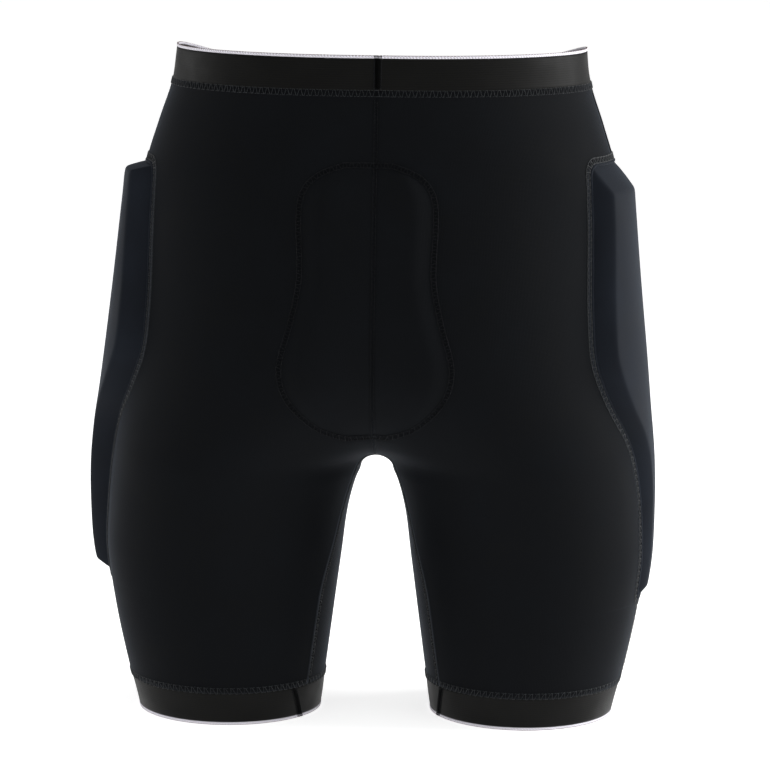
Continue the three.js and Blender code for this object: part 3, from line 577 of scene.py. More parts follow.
def woven_elastic(tree, shade):
    """Woven elastic: lengthwise rubber ribs under a weft that catches light across them. Ribs
    are 1.6 mm apart; the 0.3 mm weft is drawn at 0.9 mm so that it shows."""
    space = add_node(tree, "ShaderNodeTexCoord").outputs
    ribs = add_node(tree, "ShaderNodeTexWave", {"bands_direction": "Y"}, Vector=space["UV"],
                    Scale=bands_for(1.6 * MM), Distortion=0.15)
    weft = add_node(tree, "ShaderNodeTexWave", {"bands_direction": "X"}, Vector=space["UV"],
                    Scale=bands_for(0.9 * MM), Distortion=0.5, Detail=1.0)
    weave = add_node(tree, "ShaderNodeMix", {"data_type": "FLOAT"}, _0=0.35,
                     _2=ribs.outputs["Fac"], _3=weft.outputs["Fac"])
    cloud = add_node(tree, "ShaderNodeTexNoise", Vector=space["Object"], Scale=45.0, Detail=3.0)
    tint = add_node(tree, "ShaderNodeValToRGB", Fac=weave)
    ramp_colours(tint, (0.1, scaled(shade, 0.7)), (0.85, scaled(shade, 1.3)))
    rough = add_node(tree, "ShaderNodeMapRange", Value=cloud, From_Min=0.3, From_Max=0.7,
                     To_Min=0.42, To_Max=0.58)
    relief = add_node(tree, "ShaderNodeBump", Height=weave, Strength=0.5, Distance=0.12 * MM)
    finish_with(tree, Base_Color=tint, Roughness=rough, Normal=relief, Specular_IOR_Level=0.08,
                Sheen_Weight=0.04, Sheen_Roughness=0.35)


def selvage_yarn(tree, shade):
    """Bulky selvage yarn wrapped round the edge of the elastic: soft off-white rolls, 1.1 mm
    from one to the next, with darker gaps."""
    uv = add_node(tree, "ShaderNodeTexCoord").outputs["UV"]
    wraps = add_node(tree, "ShaderNodeTexWave", {"bands_direction": "DIAGONAL"}, Vector=uv,
                     Scale=bands_for(1.1 * MM), Distortion=0.6, Detail=1.0).outputs["Fac"]
    tint = add_node(tree, "ShaderNodeValToRGB", Fac=wraps)
    ramp_colours(tint, (0.0, scaled(shade, 0.55)), (0.45, scaled(shade, 0.92)), (1.0, shade))
    relief = add_node(tree, "ShaderNodeBump", Height=wraps, Strength=0.6, Distance=0.2 * MM)
    rough = add_node(tree, "ShaderNodeMapRange", Value=wraps, To_Min=0.85, To_Max=0.7)
    finish_with(tree, Base_Color=tint, Roughness=rough, Normal=relief, Specular_IOR_Level=0.3,
                Sheen_Weight=0.2, Sheen_Roughness=0.5)


def sewing_thread(tree, shade, shine):
    """Texturised polyester sewing thread: slightly hairy, with a soft shine along the twist."""
    position = add_node(tree, "ShaderNodeTexCoord").outputs["Object"]
    fibres = add_node(tree, "ShaderNodeTexNoise", Vector=position, Scale=2600.0, Detail=2.0)
    cloud = add_node(tree, "ShaderNodeTexNoise", Vector=position, Scale=60.0, Detail=2.0)
    tone = add_node(tree, "ShaderNodeMix", {"data_type": "FLOAT"}, _0=0.45, _2=fibres, _3=cloud)
    tint = add_node(tree, "ShaderNodeValToRGB", Fac=tone)
    ramp_colours(tint, (0.35, scaled(shade, 0.6)), (0.5, shade), (0.65, scaled(shade, 1.4)))
    rough = add_node(tree, "ShaderNodeMapRange", Value=fibres, To_Min=0.5, To_Max=0.72)
    relief = add_node(tree, "ShaderNodeBump", Height=fibres, Strength=0.4, Distance=0.1 * MM)
    finish_with(tree, Base_Color=tint, Roughness=rough, Normal=relief, Specular_IOR_Level=shine,
                Sheen_Weight=shine, Sheen_Roughness=0.45)


def closed_cell_foam(tree, shade):
    """Closed-cell foam: a matt skin pitted with open surface cells about 1 mm across."""
    position = add_node(tree, "ShaderNodeTexCoord").outputs["Object"]
    cells = add_node(tree, "ShaderNodeTexVoronoi", Vector=position, Scale=1 / MM)
    cloud = add_node(tree, "ShaderNodeTexNoise", Vector=position, Scale=40.0, Detail=3.0)
    tint = add_node(tree, "ShaderNodeValToRGB", Fac=cloud)
    ramp_colours(tint, (0.3, scaled(shade, 0.85)), (0.7, scaled(shade, 1.15)))
    rough = add_node(tree, "ShaderNodeMapRange", Value=cells, To_Min=0.95, To_Max=0.8)
    relief = add_node(tree, "ShaderNodeBump", Height=cells, Strength=0.4, Distance=0.3 * MM)
    finish_with(tree, Base_Color=tint, Roughness=rough, Normal=relief, Specular_IOR_Level=0.3)


def tricot_mesh(tree, shade):
    """Tricot mesh: a thin net of black yarn; its 1.5 mm holes are drawn as pits and painted darker,
    painted shade in place of real openings.
    """
    uv = add_node(tree, "ShaderNodeTexCoord").outputs["UV"]
    holes = add_node(tree, "ShaderNodeTexVoronoi", {"feature": "DISTANCE_TO_EDGE"}, Vector=uv,
                     Scale=1 / (1.5 * MM), Randomness=0.15)
    tint = add_node(tree, "ShaderNodeValToRGB", Fac=holes)
    # painted shade: the hole centres are darkened to stand for shade seen through the openings
    ramp_colours(tint, (0.12, scaled(shade, 1.8)), (0.22, scaled(shade, 0.3)))
    relief = add_node(tree, "ShaderNodeBump", {"invert": True}, Height=holes, Strength=0.8,
                      Distance=0.4 * MM)
    rough = add_node(tree, "ShaderNodeMapRange", Value=holes, To_Min=0.6, To_Max=0.9)
    finish_with(tree, Base_Color=tint, Roughness=rough, Normal=relief, Specular_IOR_Level=0.25)


FINISHES = {
    # slot: material, what makes it, colour, then the maker's own settings
    "knit": ("stretch_jersey", stretch_knit, "knit", 1.1 * MM, 0.12 * MM, 0.12, 0.8),
    "gusset_knit": ("gusset_jersey", stretch_knit, "knit", 1.3 * MM, 0.14 * MM, 0.18, 0.76),
    "cover_knit": ("smooth_warp_knit", stretch_knit, "cover", 0.9 * MM, 0.08 * MM, 0.09, 0.7),
    "elastic": ("woven_elastic", woven_elastic, "elastic"),
    "woven_edge": ("selvage_yarn", selvage_yarn, "edge"),
    "selvage_thread": ("brown_polyester_thread", sewing_thread, "edge_thread", 0.2),
    "grey_thread": ("grey_polyester_thread", sewing_thread, "thread", 0.2),
    "dark_thread": ("black_polyester_thread", sewing_thread, "dark_thread", 0.06),
    "foam": ("closed_cell_foam", closed_cell_foam, "foam"),
    "mesh_liner": ("tricot_mesh", tricot_mesh, "mesh"),
}


def material_for(slot):
    """The finish of a slot, made once."""
    name, maker, colour_name, *settings = FINISHES[slot]
    material = bpy.data.materials.get(name)
    if material is None:
        shade = getattr(bpy.context.scene.shorts_colours, colour_name)
        material = new_material(name, shade)
        maker(material.node_tree, shade, *settings)
    return material


# ---------------------------------------------------------------- making pieces
def new_piece(name, bm, slot, replaced, thickness=0.0):
    """Turns a bmesh into a named piece that rides on the body and stands for its CAD nodes."""
    mesh = bpy.data.meshes.new(name)
    bm.to_mesh(mesh)
    bm.free()
    mesh.shade_smooth()
    piece = bpy.data.objects.new(name, mesh)
    bpy.context.scene.collection.objects.link(piece)
    mesh.materials.append(material_for(slot))
    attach(piece, "root")
    if replaced:
        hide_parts(*replaced)
    if thickness:
        give_thickness(piece, thickness)
    return piece


SAME_POINT = 0.02 * MM


def laid_grid(columns, rows, place, closed=False):
    """A bmesh grid laid on the form, and its flat width and length. Place takes column values,
    row values and an extra height and gives points. The UV map holds lengths along the cloth,
    in metres."""
    bm = bmesh.new()
    bmesh.ops.create_grid(bm, x_segments=len(columns) - 1, y_segments=len(rows) - 1, size=0.5)
    flat = np.array([vert.co[:2] for vert in bm.verts]) + 0.5
    col = np.rint(flat[:, 0] * (len(columns) - 1)).astype(int)
    row = np.rint(flat[:, 1] * (len(rows) - 1)).astype(int)
    column_grid, row_grid = np.meshgrid(columns, rows)
    points = place(column_grid, row_grid, 0.0)
    above = place(column_grid, row_grid, MM)
    for vert, k, j in zip(bm.verts, col, row):
        vert.co = points[j, k]
    across = np.zeros(points.shape[:2])
    across[:, 1:] = np.cumsum(np.linalg.norm(np.diff(points, axis=1), axis=2), axis=1)
    across -= across[:, -1:] / 2
    upward = np.zeros(points.shape[:2])
    upward[1:] = np.cumsum(np.linalg.norm(np.diff(points, axis=0), axis=2).mean(axis=1))[:, None]
    uv = bm.loops.layers.uv.new("UVMap")
    for face in bm.faces:
        for loop in face.loops:
            k, j = col[loop.vert.index], row[loop.vert.index]
            loop[uv].uv = (across[j, k], upward[j, k])
    bm.normal_update()
    lifts = above - points
    facing = sum(vert.normal.dot(Vector(lifts[j, k])) for vert, k, j in zip(bm.verts, col, row))
    if facing < 0:
        bmesh.ops.reverse_faces(bm, faces=bm.faces)
    if closed:
        bmesh.ops.remove_doubles(bm, verts=bm.verts, dist=SAME_POINT)
    bm.normal_update()
    size = (float(np.ptp(across, axis=1).max()), float(upward.max()))
    return bm, size


def give_thickness(piece, thickness):
    """The outer face stays where it is and the wall grows inward."""
    wall = piece.modifiers.new("Thickness", "SOLIDIFY")
    wall.thickness = thickness
    wall.offset = -1.0
    wall.use_even_offset = True


def face_area(piece):
    return sum(face.area for face in piece.data.polygons)


def declare_cloth(piece, size, stretch):
    """Works out the cut width and area of a sheet cut narrower than it is worn, by the stretch
    across it; nothing is done with them.
    """
    width, along = size[0] / stretch, size[1]
    area = min(face_area(piece) / stretch, width * along)


def threads(name, paths, radius, slot, replaced, sides=1):
    """Sewing threads: one round strand along each path of points."""
    data = bpy.data.curves.new(name, "CURVE")
    data.dimensions = "3D"
    data.bevel_depth = radius
    data.bevel_resolution = sides
    data.use_fill_caps = True
    for path, closed in paths:
        strand = data.splines.new("POLY")
        strand.points.add(len(path) - 1)
        strand.points.foreach_set("co", np.hstack([path, np.ones((len(path), 1))]).ravel())
        strand.use_cyclic_u = closed
    source = bpy.data.objects.new(f"{name}_strands", data)
    bpy.context.scene.collection.objects.link(source)
    bpy.context.view_layer.update()
    evaluated = source.evaluated_get(bpy.context.evaluated_depsgraph_get())
    mesh = bpy.data.meshes.new_from_object(evaluated)
    bpy.data.objects.remove(source)
    bpy.data.curves.remove(data)
    bm = bmesh.new()
    bm.from_mesh(mesh)
    bpy.data.meshes.remove(mesh)
    bmesh.ops.remove_doubles(bm, verts=bm.verts, dist=0.001 * MM)
    return new_piece(name, bm, slot, replaced)


NEEDLE_HEIGHTS = (-0.25 * MM, 0.42 * MM, 0.42 * MM)   # down through the cloth, then over it
LOOPER_SWING = (-1.0, -1.0, 1.0, 1.0)                 # stays on one row, then crosses
LOOPER_HEIGHT = 0.5 * MM


def strand(line, pattern, heights, closed, pitch, spot):
    """One thread along a line: sideways shifts and heights repeat point after point."""
    points = resample(line, pitch, closed)
    if closed:
        points = points[:len(points) - len(points) % len(pattern)]
    count = len(points)
    moved = points + sideways(points, closed) * np.resize(pattern, count)[:, None]
    return spot(moved[:, 0], moved[:, 1], np.resize(heights, count)), closed


def flatlock(line, width, closed, pitch, spot, sunk=0.0):
    """Two needle rows joined by a looper: the ladder of a flatlock seam. Sunk rows are pulled
    that far into soft elastic."""
    beat = pitch / len(NEEDLE_HEIGHTS)
    half = width / 2
    heights = [height - sunk for height in NEEDLE_HEIGHTS]
    rows = [strand(line, [shift] * len(heights), heights, closed, beat, spot)
            for shift in (-half, half)]
    swing = [half * place for place in LOOPER_SWING]
    looper = strand(line, swing, [LOOPER_HEIGHT] * len(swing), closed, pitch / 2, spot)
    return [*rows, looper]


def sew(node, line, width, spot, sizes, radius, slot, closed=False, sunk=0.0):
    """The threads of a flatlock seam along a line, in place of a CAD seam."""
    paths = flatlock(line, width, closed, sizes.stitch_pitch, spot, sunk)
    return threads(f"{node}_threads", paths, radius, slot, [node])


def upright(low, high, count):
    """Even (arc, row) points up the line of arc 0."""
    return np.stack([np.zeros(count), np.linspace(low, high, count)], axis=1)


def level_line(start, end, row, count):
    """Even (arc, row) points along a row."""
    return np.stack([np.linspace(start, end, count), np.full(count, row)], axis=1)


SIM_FRAMES = 20


def cloth_pad(piece, held, cap):
    """Lets a pad swell against its stitched margin as cloth, moving no point further than cap."""
    start = np.array([vert.co for vert in piece.data.vertices])
    group = piece.vertex_groups.new(name="Stitched")
    for index, hold in enumerate(held):
        if hold > 0:
            group.add([index], float(hold), "REPLACE")
    cloth = piece.modifiers.new("Cloth", "CLOTH")
    cloth.settings.quality = 5
    cloth.settings.mass = 0.2
    cloth.settings.tension_stiffness = 20.0
    cloth.settings.compression_stiffness = 20.0
    cloth.settings.shear_stiffness = 8.0
    cloth.settings.bending_stiffness = 4.0
    cloth.settings.use_pressure = True
    cloth.settings.uniform_pressure_force = 4.0
    cloth.settings.vertex_group_mass = group.name
    cloth.settings.effector_weights.gravity = 0.0
    cloth.point_cache.frame_start = 1
    cloth.point_cache.frame_end = SIM_FRAMES
    scene = bpy.context.scene
    for number in range(1, SIM_FRAMES + 1):
        scene.frame_set(number)
    evaluated = piece.evaluated_get(bpy.context.evaluated_depsgraph_get())
    end = np.array([vert.co for vert in evaluated.data.vertices])
    piece.modifiers.remove(cloth)
    piece.vertex_groups.remove(group)
    scene.frame_set(1)
    move = end - start
    far = np.linalg.norm(move, axis=1, keepdims=True)
    move *= np.minimum(1.0, cap / np.maximum(far, 1e-9))
    move *= (1 - held)[:, None]
    piece.data.vertices.foreach_set("co", (start + move).ravel())
    piece.data.update()


def subdivide(piece, levels):
    finer = piece.modifiers.new("Fine surface", "SUBSURF")
    finer.levels = levels
    finer.render_levels = levels


WRINKLE = 0.12 * MM


def wrinkles(row, arc):
    """Faint slanting folds of stretched cloth, about 10 cm apart, as a height."""
    lean = arc * 9 + row * 31
    return WRINKLE * (np.sin(lean * 2.1 + 1.3 * np.sin(row * 47)) * np.sin(arc * 38 + 0.7))


# ---------------------------------------------------------------- operators
class PieceOperator:
    """What every piece's operator shares."""

    bl_options = {"REGISTER", "UNDO"}

    def execute(self, context):
        sizes = context.scene.shorts_sizes
        form = BodyForm(sizes)
        self.build(form, PadOutlines(form), sizes)
        return {"FINISHED"}


KNIT_STRETCH = 1.06             # how much wider the cloth is worn than it was cut
PANEL_STEP = 3.2 * MM
PANEL_SHARES = spread(0.0, (52, 1.0), (9, 2.0))
MIDDLE_SHARE = 0.55             # this share of a panel's columns lies on its inner part,
MIDDLE_PLACE = 0.52             # which reaches this far from its inner edge to the window
GROOVE_DEPTH = 0.3 * MM
GROOVE_WIDTH = 3.5 * MM
GROOVE_START = 20 * MM          # the groove deepens over this height above the crotch
WINDOW_CLEAR = 0.25 * MM
BEND_CLEAR = 1.2 * MM           # evenly spaced rows this near to a fixed row are left out
LEAST_STEP = 0.15 * MM


def panel_rows(form, outlines, name):
    """Rows of a panel: close together at the crotch and round the ends of the pad window."""
    low, high = outlines.hip_span(name)
    bottom, top = form.sizes.elastic_width, form.band_bottom
    turns = [low - WINDOW_CLEAR, high + WINDOW_CLEAR]
    bends = form.sizes.hip_corner * outlines.CORNER_BENDS
    fixed = np.concatenate([turns, low + bends, high - bends, [bottom, top]])
    crotch = spread(form.crotch - 16 * MM, (22, form.crotch + 24 * MM))
    free = np.concatenate([np.arange(bottom, top, PANEL_STEP), crotch])
    near = np.abs(free[:, None] - fixed[None, :]).min(axis=1)
    kept = np.unique(np.round(np.concatenate([fixed, free[near > BEND_CLEAR]]), 6))
    return kept[np.concatenate(([True], np.diff(kept) > LEAST_STEP))]


def panel_arc(outlines, name, row, share, inner):
    """Distance from the pad's middle line: share 0 is the inner edge of the panel, 1 the edge
    of the pad window and 2 the side seam."""
    low, high = outlines.hip_span(name)
    window = outlines.hip_half(name, np.clip(row, low, high)) + WINDOW_CLEAR
    middle = np.minimum(inner, mix(inner, window, MIDDLE_PLACE))
    near = mix(inner, middle, np.clip(share / MIDDLE_SHARE, 0, 1))
    far = mix(near, window, np.clip((share - MIDDLE_SHARE) / (1 - MIDDLE_SHARE), 0, 1))
    return far * np.clip(2 - share, 0, 1)


def cut_window(bm, rows, outlines, name):
    """Removes the part of a panel's grid that would lie under the pad."""
    low, high = outlines.hip_span(name)
    count = len(PANEL_SHARES)
    bm.verts.index_update()
    inside = []
    for face in bm.faces:
        places = [vert.index for vert in face.verts]
        share = np.mean([PANEL_SHARES[k % count] for k in places])
        row = np.mean([rows[k // count] for k in places])
        if share > 1 and low < row < high:
            inside.append(face)
    bmesh.ops.delete(bm, geom=inside, context="FACES")


def make_panel(form, outlines, label, name, place):
    """One panel, with the part that would lie under the pad cut out."""
    rows = panel_rows(form, outlines, name)
    bm, size = laid_grid(PANEL_SHARES, rows, place)
    cut_window(bm, rows, outlines, name)
    node = f"{label}_panel_{name}"
    piece = new_piece(f"{node}_cloth", bm, "knit", [node], form.sizes.fabric)
    declare_cloth(piece, size, KNIT_STRETCH)


def centre_groove(form, across, row):
    """The cloth dips a little where the two sides are sewn together."""
    return -GROOVE_DEPTH * bump(across, GROOVE_WIDTH) * smooth((row - form.crotch) / GROOVE_START)


def back_height(form, outlines, across, row, arc):
    """Height of a back panel's face over the form."""
    swell = outlines.tail_swell(across, row)
    return swell + centre_groove(form, across, row) + wrinkles(row, arc)


def on_back_panels(form, outlines):
    """Place on the face of the back panels; across is measured from the centre-back line."""
    def place(across, row, height):
        over = back_height(form, outlines, across, row, np.abs(across) - form.full_arc(row, -1))
        return form.at_back(across, row, height + over)

    return place


class SHORTS_OT_back_panels(PieceOperator, bpy.types.Operator):
    """Back panels, from the centre-back seam to the side line, swelling over the tailbone pad"""

    bl_idname = "shorts.back_panels"
    bl_label = "Back Panels"

    def build(self, form, outlines, sizes):
        for name, side in SIDES:
            def place(share, row, extra):
                full = form.full_arc(row, -1)
                inner = -form.inner_arc(row, -1) - outlines.twist(name)
                arc = -panel_arc(outlines, name, row, share, inner) - outlines.twist(name)
                height = back_height(form, outlines, side * (full + arc), row, arc)
                return form.at_side(side, row, arc, height + extra)

            make_panel(form, outlines, "back", name, place)


class SHORTS_OT_front_panels(PieceOperator, bpy.types.Operator):
    """Front panels, from the centre-front seam to the side line"""

    bl_idname = "shorts.front_panels"
    bl_label = "Front Panels"

    def build(self, form, outlines, sizes):
        for name, side in SIDES:
            def place(share, row, extra):
                inner = form.inner_arc(row, 1) + outlines.twist(name)
                arc = panel_arc(outlines, name, row, share, inner) - outlines.twist(name)
                across = form.full_arc(row, 1) - arc
                height = centre_groove(form, across, row) + wrinkles(row, arc)
                return form.at_side(side, row, arc, height + extra)

            make_panel(form, outlines, "front", name, place)


class SHORTS_OT_inseam_gusset(PieceOperator, bpy.types.Operator):
    """The strip that runs down one inner leg, through the crotch and down the other"""

    bl_idname = "shorts.inseam_gusset"
    bl_label = "Inseam Gusset"

    def build(self, form, outlines, sizes):
        along = np.linspace(-1, 1, 141)
        shares = np.linspace(-1, 1, 25)

        def place(share, run, extra):
            """Slack cloth folds a little beside the crotch."""
            fold = 0.35 * MM * np.cos(run * 46) * bump(np.abs(run) - 0.16, 0.12) * (1 - share ** 2)
            return form.at_gusset(run, share, 0.0, fold - 0.1 * MM + extra)

        bm, size = laid_grid(shares, along, place)
        piece = new_piece("inseam_gusset_cloth", bm, "gusset_knit", ["inseam_gusset"],
                          sizes.fabric)
        declare_cloth(piece, size, KNIT_STRETCH)


# ---------------------------------------------------------------- pads
# (share of the flange, share of the wall) of each row or column in from a hip pad's edge
HIP_INSETS = ((0.0, 0.0), (0.33, 0.0), (0.66, 0.0), (1.0, 0.0), (1.0, 0.14), (1.0, 0.32),
              (1.0, 0.52), (1.0, 0.72), (1.0, 0.88), (1.0, 1.0))
HIP_FACE_COLUMNS = 11
HELD_POINTS = 4                 # rows and columns of the flange, which the stitching holds
HIP_CAP = 3.0 * MM
COVER_SHARE = 0.97              # the cover starts a little low, and the simulation lifts it
FOAM_MARGIN = 1.6 * MM          # between the flange and the foam
FOAM_CLEAR = 0.6 * MM           # between the cover and the foam
LINER_MARGIN = 6 * MM           # a liner reaches this far past its pad


def hip_columns():
    """Columns of a hip pad as numbers: 0 to 1 flange, 1 to 2 wall, 2 to 3 half of the face."""
    rise = [flange + wall for flange, wall in HIP_INSETS]
    face = list(2 + np.linspace(0, 1, HIP_FACE_COLUMNS + 1)[1:])
    half = np.array(rise + face)
    return np.concatenate([half, 6 - half[-2::-1]])


def hip_rows(outlines, name):
    """Rows of a hip pad: close together on the sloping walls at its ends."""
    low, high = outlines.hip_span(name)
    sizes = outlines.sizes
    flanges, walls = np.array(HIP_INSETS).T
    bottom = low + flanges * sizes.hip_flange + walls * sizes.hip_bevel
    top = high - flanges * sizes.hip_flange - walls * outlines.HIP_TOP_WALL[name] * MM
    body = np.linspace(bottom[-1], top[-1], 49)[1:-1]
    return np.concatenate([bottom, body, top[::-1]])


def hip_place(form, outlines, name, column, row):
    """Arc and inset of the hip pad columns."""
    sizes = form.sizes
    sign = np.where(column <= 3, -1, 1)
    place = np.where(column <= 3, column, 6 - column)
    half = outlines.hip_half(name, row)
    squeeze = np.minimum(1.0, half * 0.8 / (sizes.hip_flange + sizes.hip_bevel))
    inset = np.clip(place, 0, 1) * sizes.hip_flange + np.clip(place - 1, 0, 1) * sizes.hip_bevel
    share = np.clip(place - 2, 0, 1)
    arc = sign * mix(half - inset * squeeze, 0.0, share)
    return arc - outlines.twist(name), inset


def held_margin(columns, rows):
    """How firmly each point is held: 1 on the flange and 0 inside it."""
    flat = np.arange(columns * rows)
    col, row = flat % columns, flat // columns
    edge = np.minimum(np.minimum(col, columns - 1 - col), np.minimum(row, rows - 1 - row))
    return np.where(edge < HELD_POINTS, 1.0, 0.0)


def close_block(bm, underside):
    """Gives a laid grid an underside of its own shape, and walls between the two."""
    def copied(kind):
        return [item for item in copy["geom"] if isinstance(item, kind)]

    rim = [edge for edge in bm.edges if edge.is_boundary]
    copy = bmesh.ops.duplicate(bm, geom=[*bm.verts, *bm.edges, *bm.faces])
    bm.verts.index_update()
    twins = copy["vert_map"]
    for vert in copied(bmesh.types.BMVert):
        vert.co = underside[twins[vert].index]
    bmesh.ops.reverse_faces(bm, faces=copied(bmesh.types.BMFace))
    lower_rim = [edge for edge in copied(bmesh.types.BMEdge) if edge.is_boundary]
    bmesh.ops.bridge_loops(bm, edges=rim + lower_rim)
    bmesh.ops.recalc_face_normals(bm, faces=bm.faces)


class SHORTS_OT_hip_pads(PieceOperator, bpy.types.Operator):
    """Hip pads: moulded foam, and the knit cover that swells over it"""

    bl_idname = "shorts.hip_pads"
    bl_label = "Hip Pads"

    def build(self, form, outlines, sizes):
        for name, side in SIDES:
            self.cover(form, outlines, sizes, name, side)
            self.foam(form, outlines, sizes, name, side)

    def cover(self, form, outlines, sizes, name, side):
        columns, rows = hip_columns(), hip_rows(outlines, name)

        def place(column, row, extra):
            arc, inset = hip_place(form, outlines, name, column, row)
            height = outlines.hip_lift(name, row, inset) * COVER_SHARE
            return form.at_side(side, row, arc, height + extra)

        bm, _ = laid_grid(columns, rows, place)
        node = f"hip_pad_cover_{name}"
        piece = new_piece(f"{node}_cloth", bm, "cover_knit", [node])
        cloth_pad(piece, held_margin(len(columns), len(rows)), HIP_CAP)
        subdivide(piece, 1)
        give_thickness(piece, sizes.fabric)

    def foam(self, form, outlines, sizes, name, side):
        low, high = outlines.hip_span(name)
        columns = hip_columns()
        columns = columns[(columns > 1.1) & (columns < 4.9)]
        inset = sizes.hip_flange + FOAM_MARGIN
        rows = hip_rows(outlines, name)
        rows = rows[(rows > low + inset) & (rows < high - inset)]
        under = -sizes.fabric * 0.9

        def top(column, row, extra):
            arc, inset = hip_place(form, outlines, name, column, row)
            height = outlines.hip_lift(name, row, inset) * COVER_SHARE - sizes.fabric - FOAM_CLEAR
            return form.at_side(side, row, arc, np.maximum(height, under + MM) + extra)

        def bottom(column, row):
            arc, _ = hip_place(form, outlines, name, column, row)
            return form.at_side(side, row, arc, under)

        bm, _ = laid_grid(columns, rows, top)
        close_block(bm, bottom(*np.meshgrid(columns, rows)).reshape(-1, 3))
        piece = new_piece(f"hip_pad_{name}_foam", bm, "foam", [f"hip_pad_{name}"])


def tail_columns():
    """Columns of the tailbone pad and its liner, close together at the sloping edges."""
    edge = np.linspace(0.72, 1.0, 8)
    half = np.concatenate([np.linspace(0.0, edge[0], 10)[:-1], edge])
    return np.concatenate([-half[:0:-1], half])


class SHORTS_OT_tailbone_pad(PieceOperator, bpy.types.Operator):
    """Tailbone pad: a low foam plate behind the back panels and the mesh that holds it"""

    bl_idname = "shorts.tailbone_pad"
    bl_label = "Tailbone Pad"

    INSET = 1.5 * MM                # the foam stays this far inside its outline
    SLOPE = 12 * MM                 # rows are close together in this stretch at each end
    BEHIND = 1.0 * MM               # air between the panels and the foam
    SWELL_SHARE = 0.95
    POCKET_EDGE = 3 * MM            # the liner turns down to the panels over this width
    POCKET_CLEAR = 0.6 * MM

    def build(self, form, outlines, sizes):
        low, high = outlines.tail_bottom, outlines.tail_top
        rows = spread(low + self.INSET, (6, low + self.SLOPE), (34, high - self.SLOPE),
                      (6, high - self.INSET))
        behind = sizes.fabric + self.BEHIND

        def foam(share, row, extra):
            across = share * (outlines.tail_half(row, np.where(share < 0, -1, 1)) - self.INSET)
            crest = smooth(outlines.tail_inside(across, row) / sizes.tail_bevel)
            height = sizes.tail_rise * crest * self.SWELL_SHARE - behind
            return form.at_back(across, row, height + extra)

        bm, _ = laid_grid(tail_columns(), rows, foam)
        pad = new_piece("tailbone_pad_foam", bm, "foam", ["tailbone_pad"], sizes.tail_depth)

        rows = spread(low - LINER_MARGIN, (3, low), (34, high), (3, high + LINER_MARGIN))

        def mesh(share, row, extra):
            side = np.where(share < 0, -1, 1)
            bounded = np.clip(row, low + self.POCKET_EDGE, high - self.POCKET_EDGE)
            across = share * (outlines.tail_half(bounded, side) + LINER_MARGIN)
            inside = np.minimum(outlines.tail_half(bounded, 0) - np.abs(across),
                                np.minimum(row - low, high - row))
            edge = smooth((inside + self.POCKET_EDGE) / self.POCKET_EDGE)
            pocket = (sizes.tail_depth + self.POCKET_CLEAR) * edge
            return form.at_back(across, row, extra - behind - pocket)

        bm, size = laid_grid(tail_columns(), rows, mesh)
        liner = new_piece("tailbone_pad_liner_mesh", bm, "mesh_liner", ["tailbone_pad_liner"],
                          sizes.liner)
        declare_cloth(liner, size, 1.0)


class SHORTS_OT_hip_liners(PieceOperator, bpy.types.Operator):
    """Mesh behind each hip pad, stitched to the panels round it"""

    bl_idname = "shorts.hip_liners"
    bl_label = "Hip Pad Liners"

    EDGE = 6 * MM                   # the mesh lies deeper in this stretch at each end,
    RISE = 8 * MM                   # and comes up over this one

    def build(self, form, outlines, sizes):
        corner = sizes.hip_corner
        for name, side in SIDES:
            low, high = outlines.hip_span(name)
            rows = spread(low - LINER_MARGIN, (3, low), (60, high), (3, high + LINER_MARGIN))

            def place(share, row, extra):
                bounded = np.clip(row, low + corner, high - corner)
                arc = share * (outlines.hip_half(name, bounded) + LINER_MARGIN)
                inside = np.minimum(row - low, high - row)
                ends = 1 - smooth((inside - self.EDGE) / self.RISE)
                arc = arc - outlines.twist(name)
                return form.at_side(side, row, arc, extra - sizes.fabric - MM * (1 + ends))

            bm, size = laid_grid(np.linspace(-1, 1, 25), rows, place)
            node = f"hip_pad_liner_{name}"
            liner = new_piece(f"{node}_mesh", bm, "mesh_liner", [node], sizes.liner)
            declare_cloth(liner, size, 1.0)


# ---------------------------------------------------------------- bands
ELASTIC_STRETCH = 1.04
RIPPLE = 0.22 * MM
YARN_CROWN = 0.45 * MM          # how far the light yarn rolls over the edge of the elastic
YARN_SUNK = 0.1 * MM
SELVAGE_RADIUS = 0.22 * MM
SELVAGE_HEIGHTS = (0.1 * MM, 0.1 * MM, -0.5 * MM)
SELVAGE_DOWN = 0.15 * MM        # the outermost thread lies this far from the rim
BAND_SEAM = 0.8                 # width of a band's seam, as a share of the stitch width
BAND_SUNK = 0.35 * MM
SEAM_OVERLAP = 0.8 * MM         # how far a band's seam reaches onto the elastic
JOIN_HALF = 1.9 * MM            # half the width of the zigzag over a band's butted ends
JOIN_PITCH = 0.9 * MM
JOIN_HEIGHT = 0.35 * MM
JOIN_ROW_OUT = 0.5 * MM         # a dark row lies this far outside the zigzag
JOIN_ROW_STEP = 0.8 * MM
JOIN_THREAD = 0.32 * MM
END_CLEAR = 0.2 * MM            # between a join and the rim


def waist_place(form):
    """Place on the waist ring; around runs from 0 at centre back over 2 at the front to 4."""
    def place(around, row, height):
        side = np.where(around < 2, 1, -1)
        share = np.where(around < 2, around - 1, 3 - around)
        full = np.where(share < 0, form.full_arc(row, -1), form.full_arc(row, 1))
        return form.at_side(side, row, share * full, height)

    return place


def hem_place(form, side):
    """Place on the ring of one hem; around runs from -1 at the inseam back round to 1."""
    def place(around, row, height):
        full = np.where(around < 0, form.full_arc(row, -1), form.full_arc(row, 1))
        turn = form.turn_at_arc(row, around * full)
        return form.at_rim(side, row, turn, height)

    return place


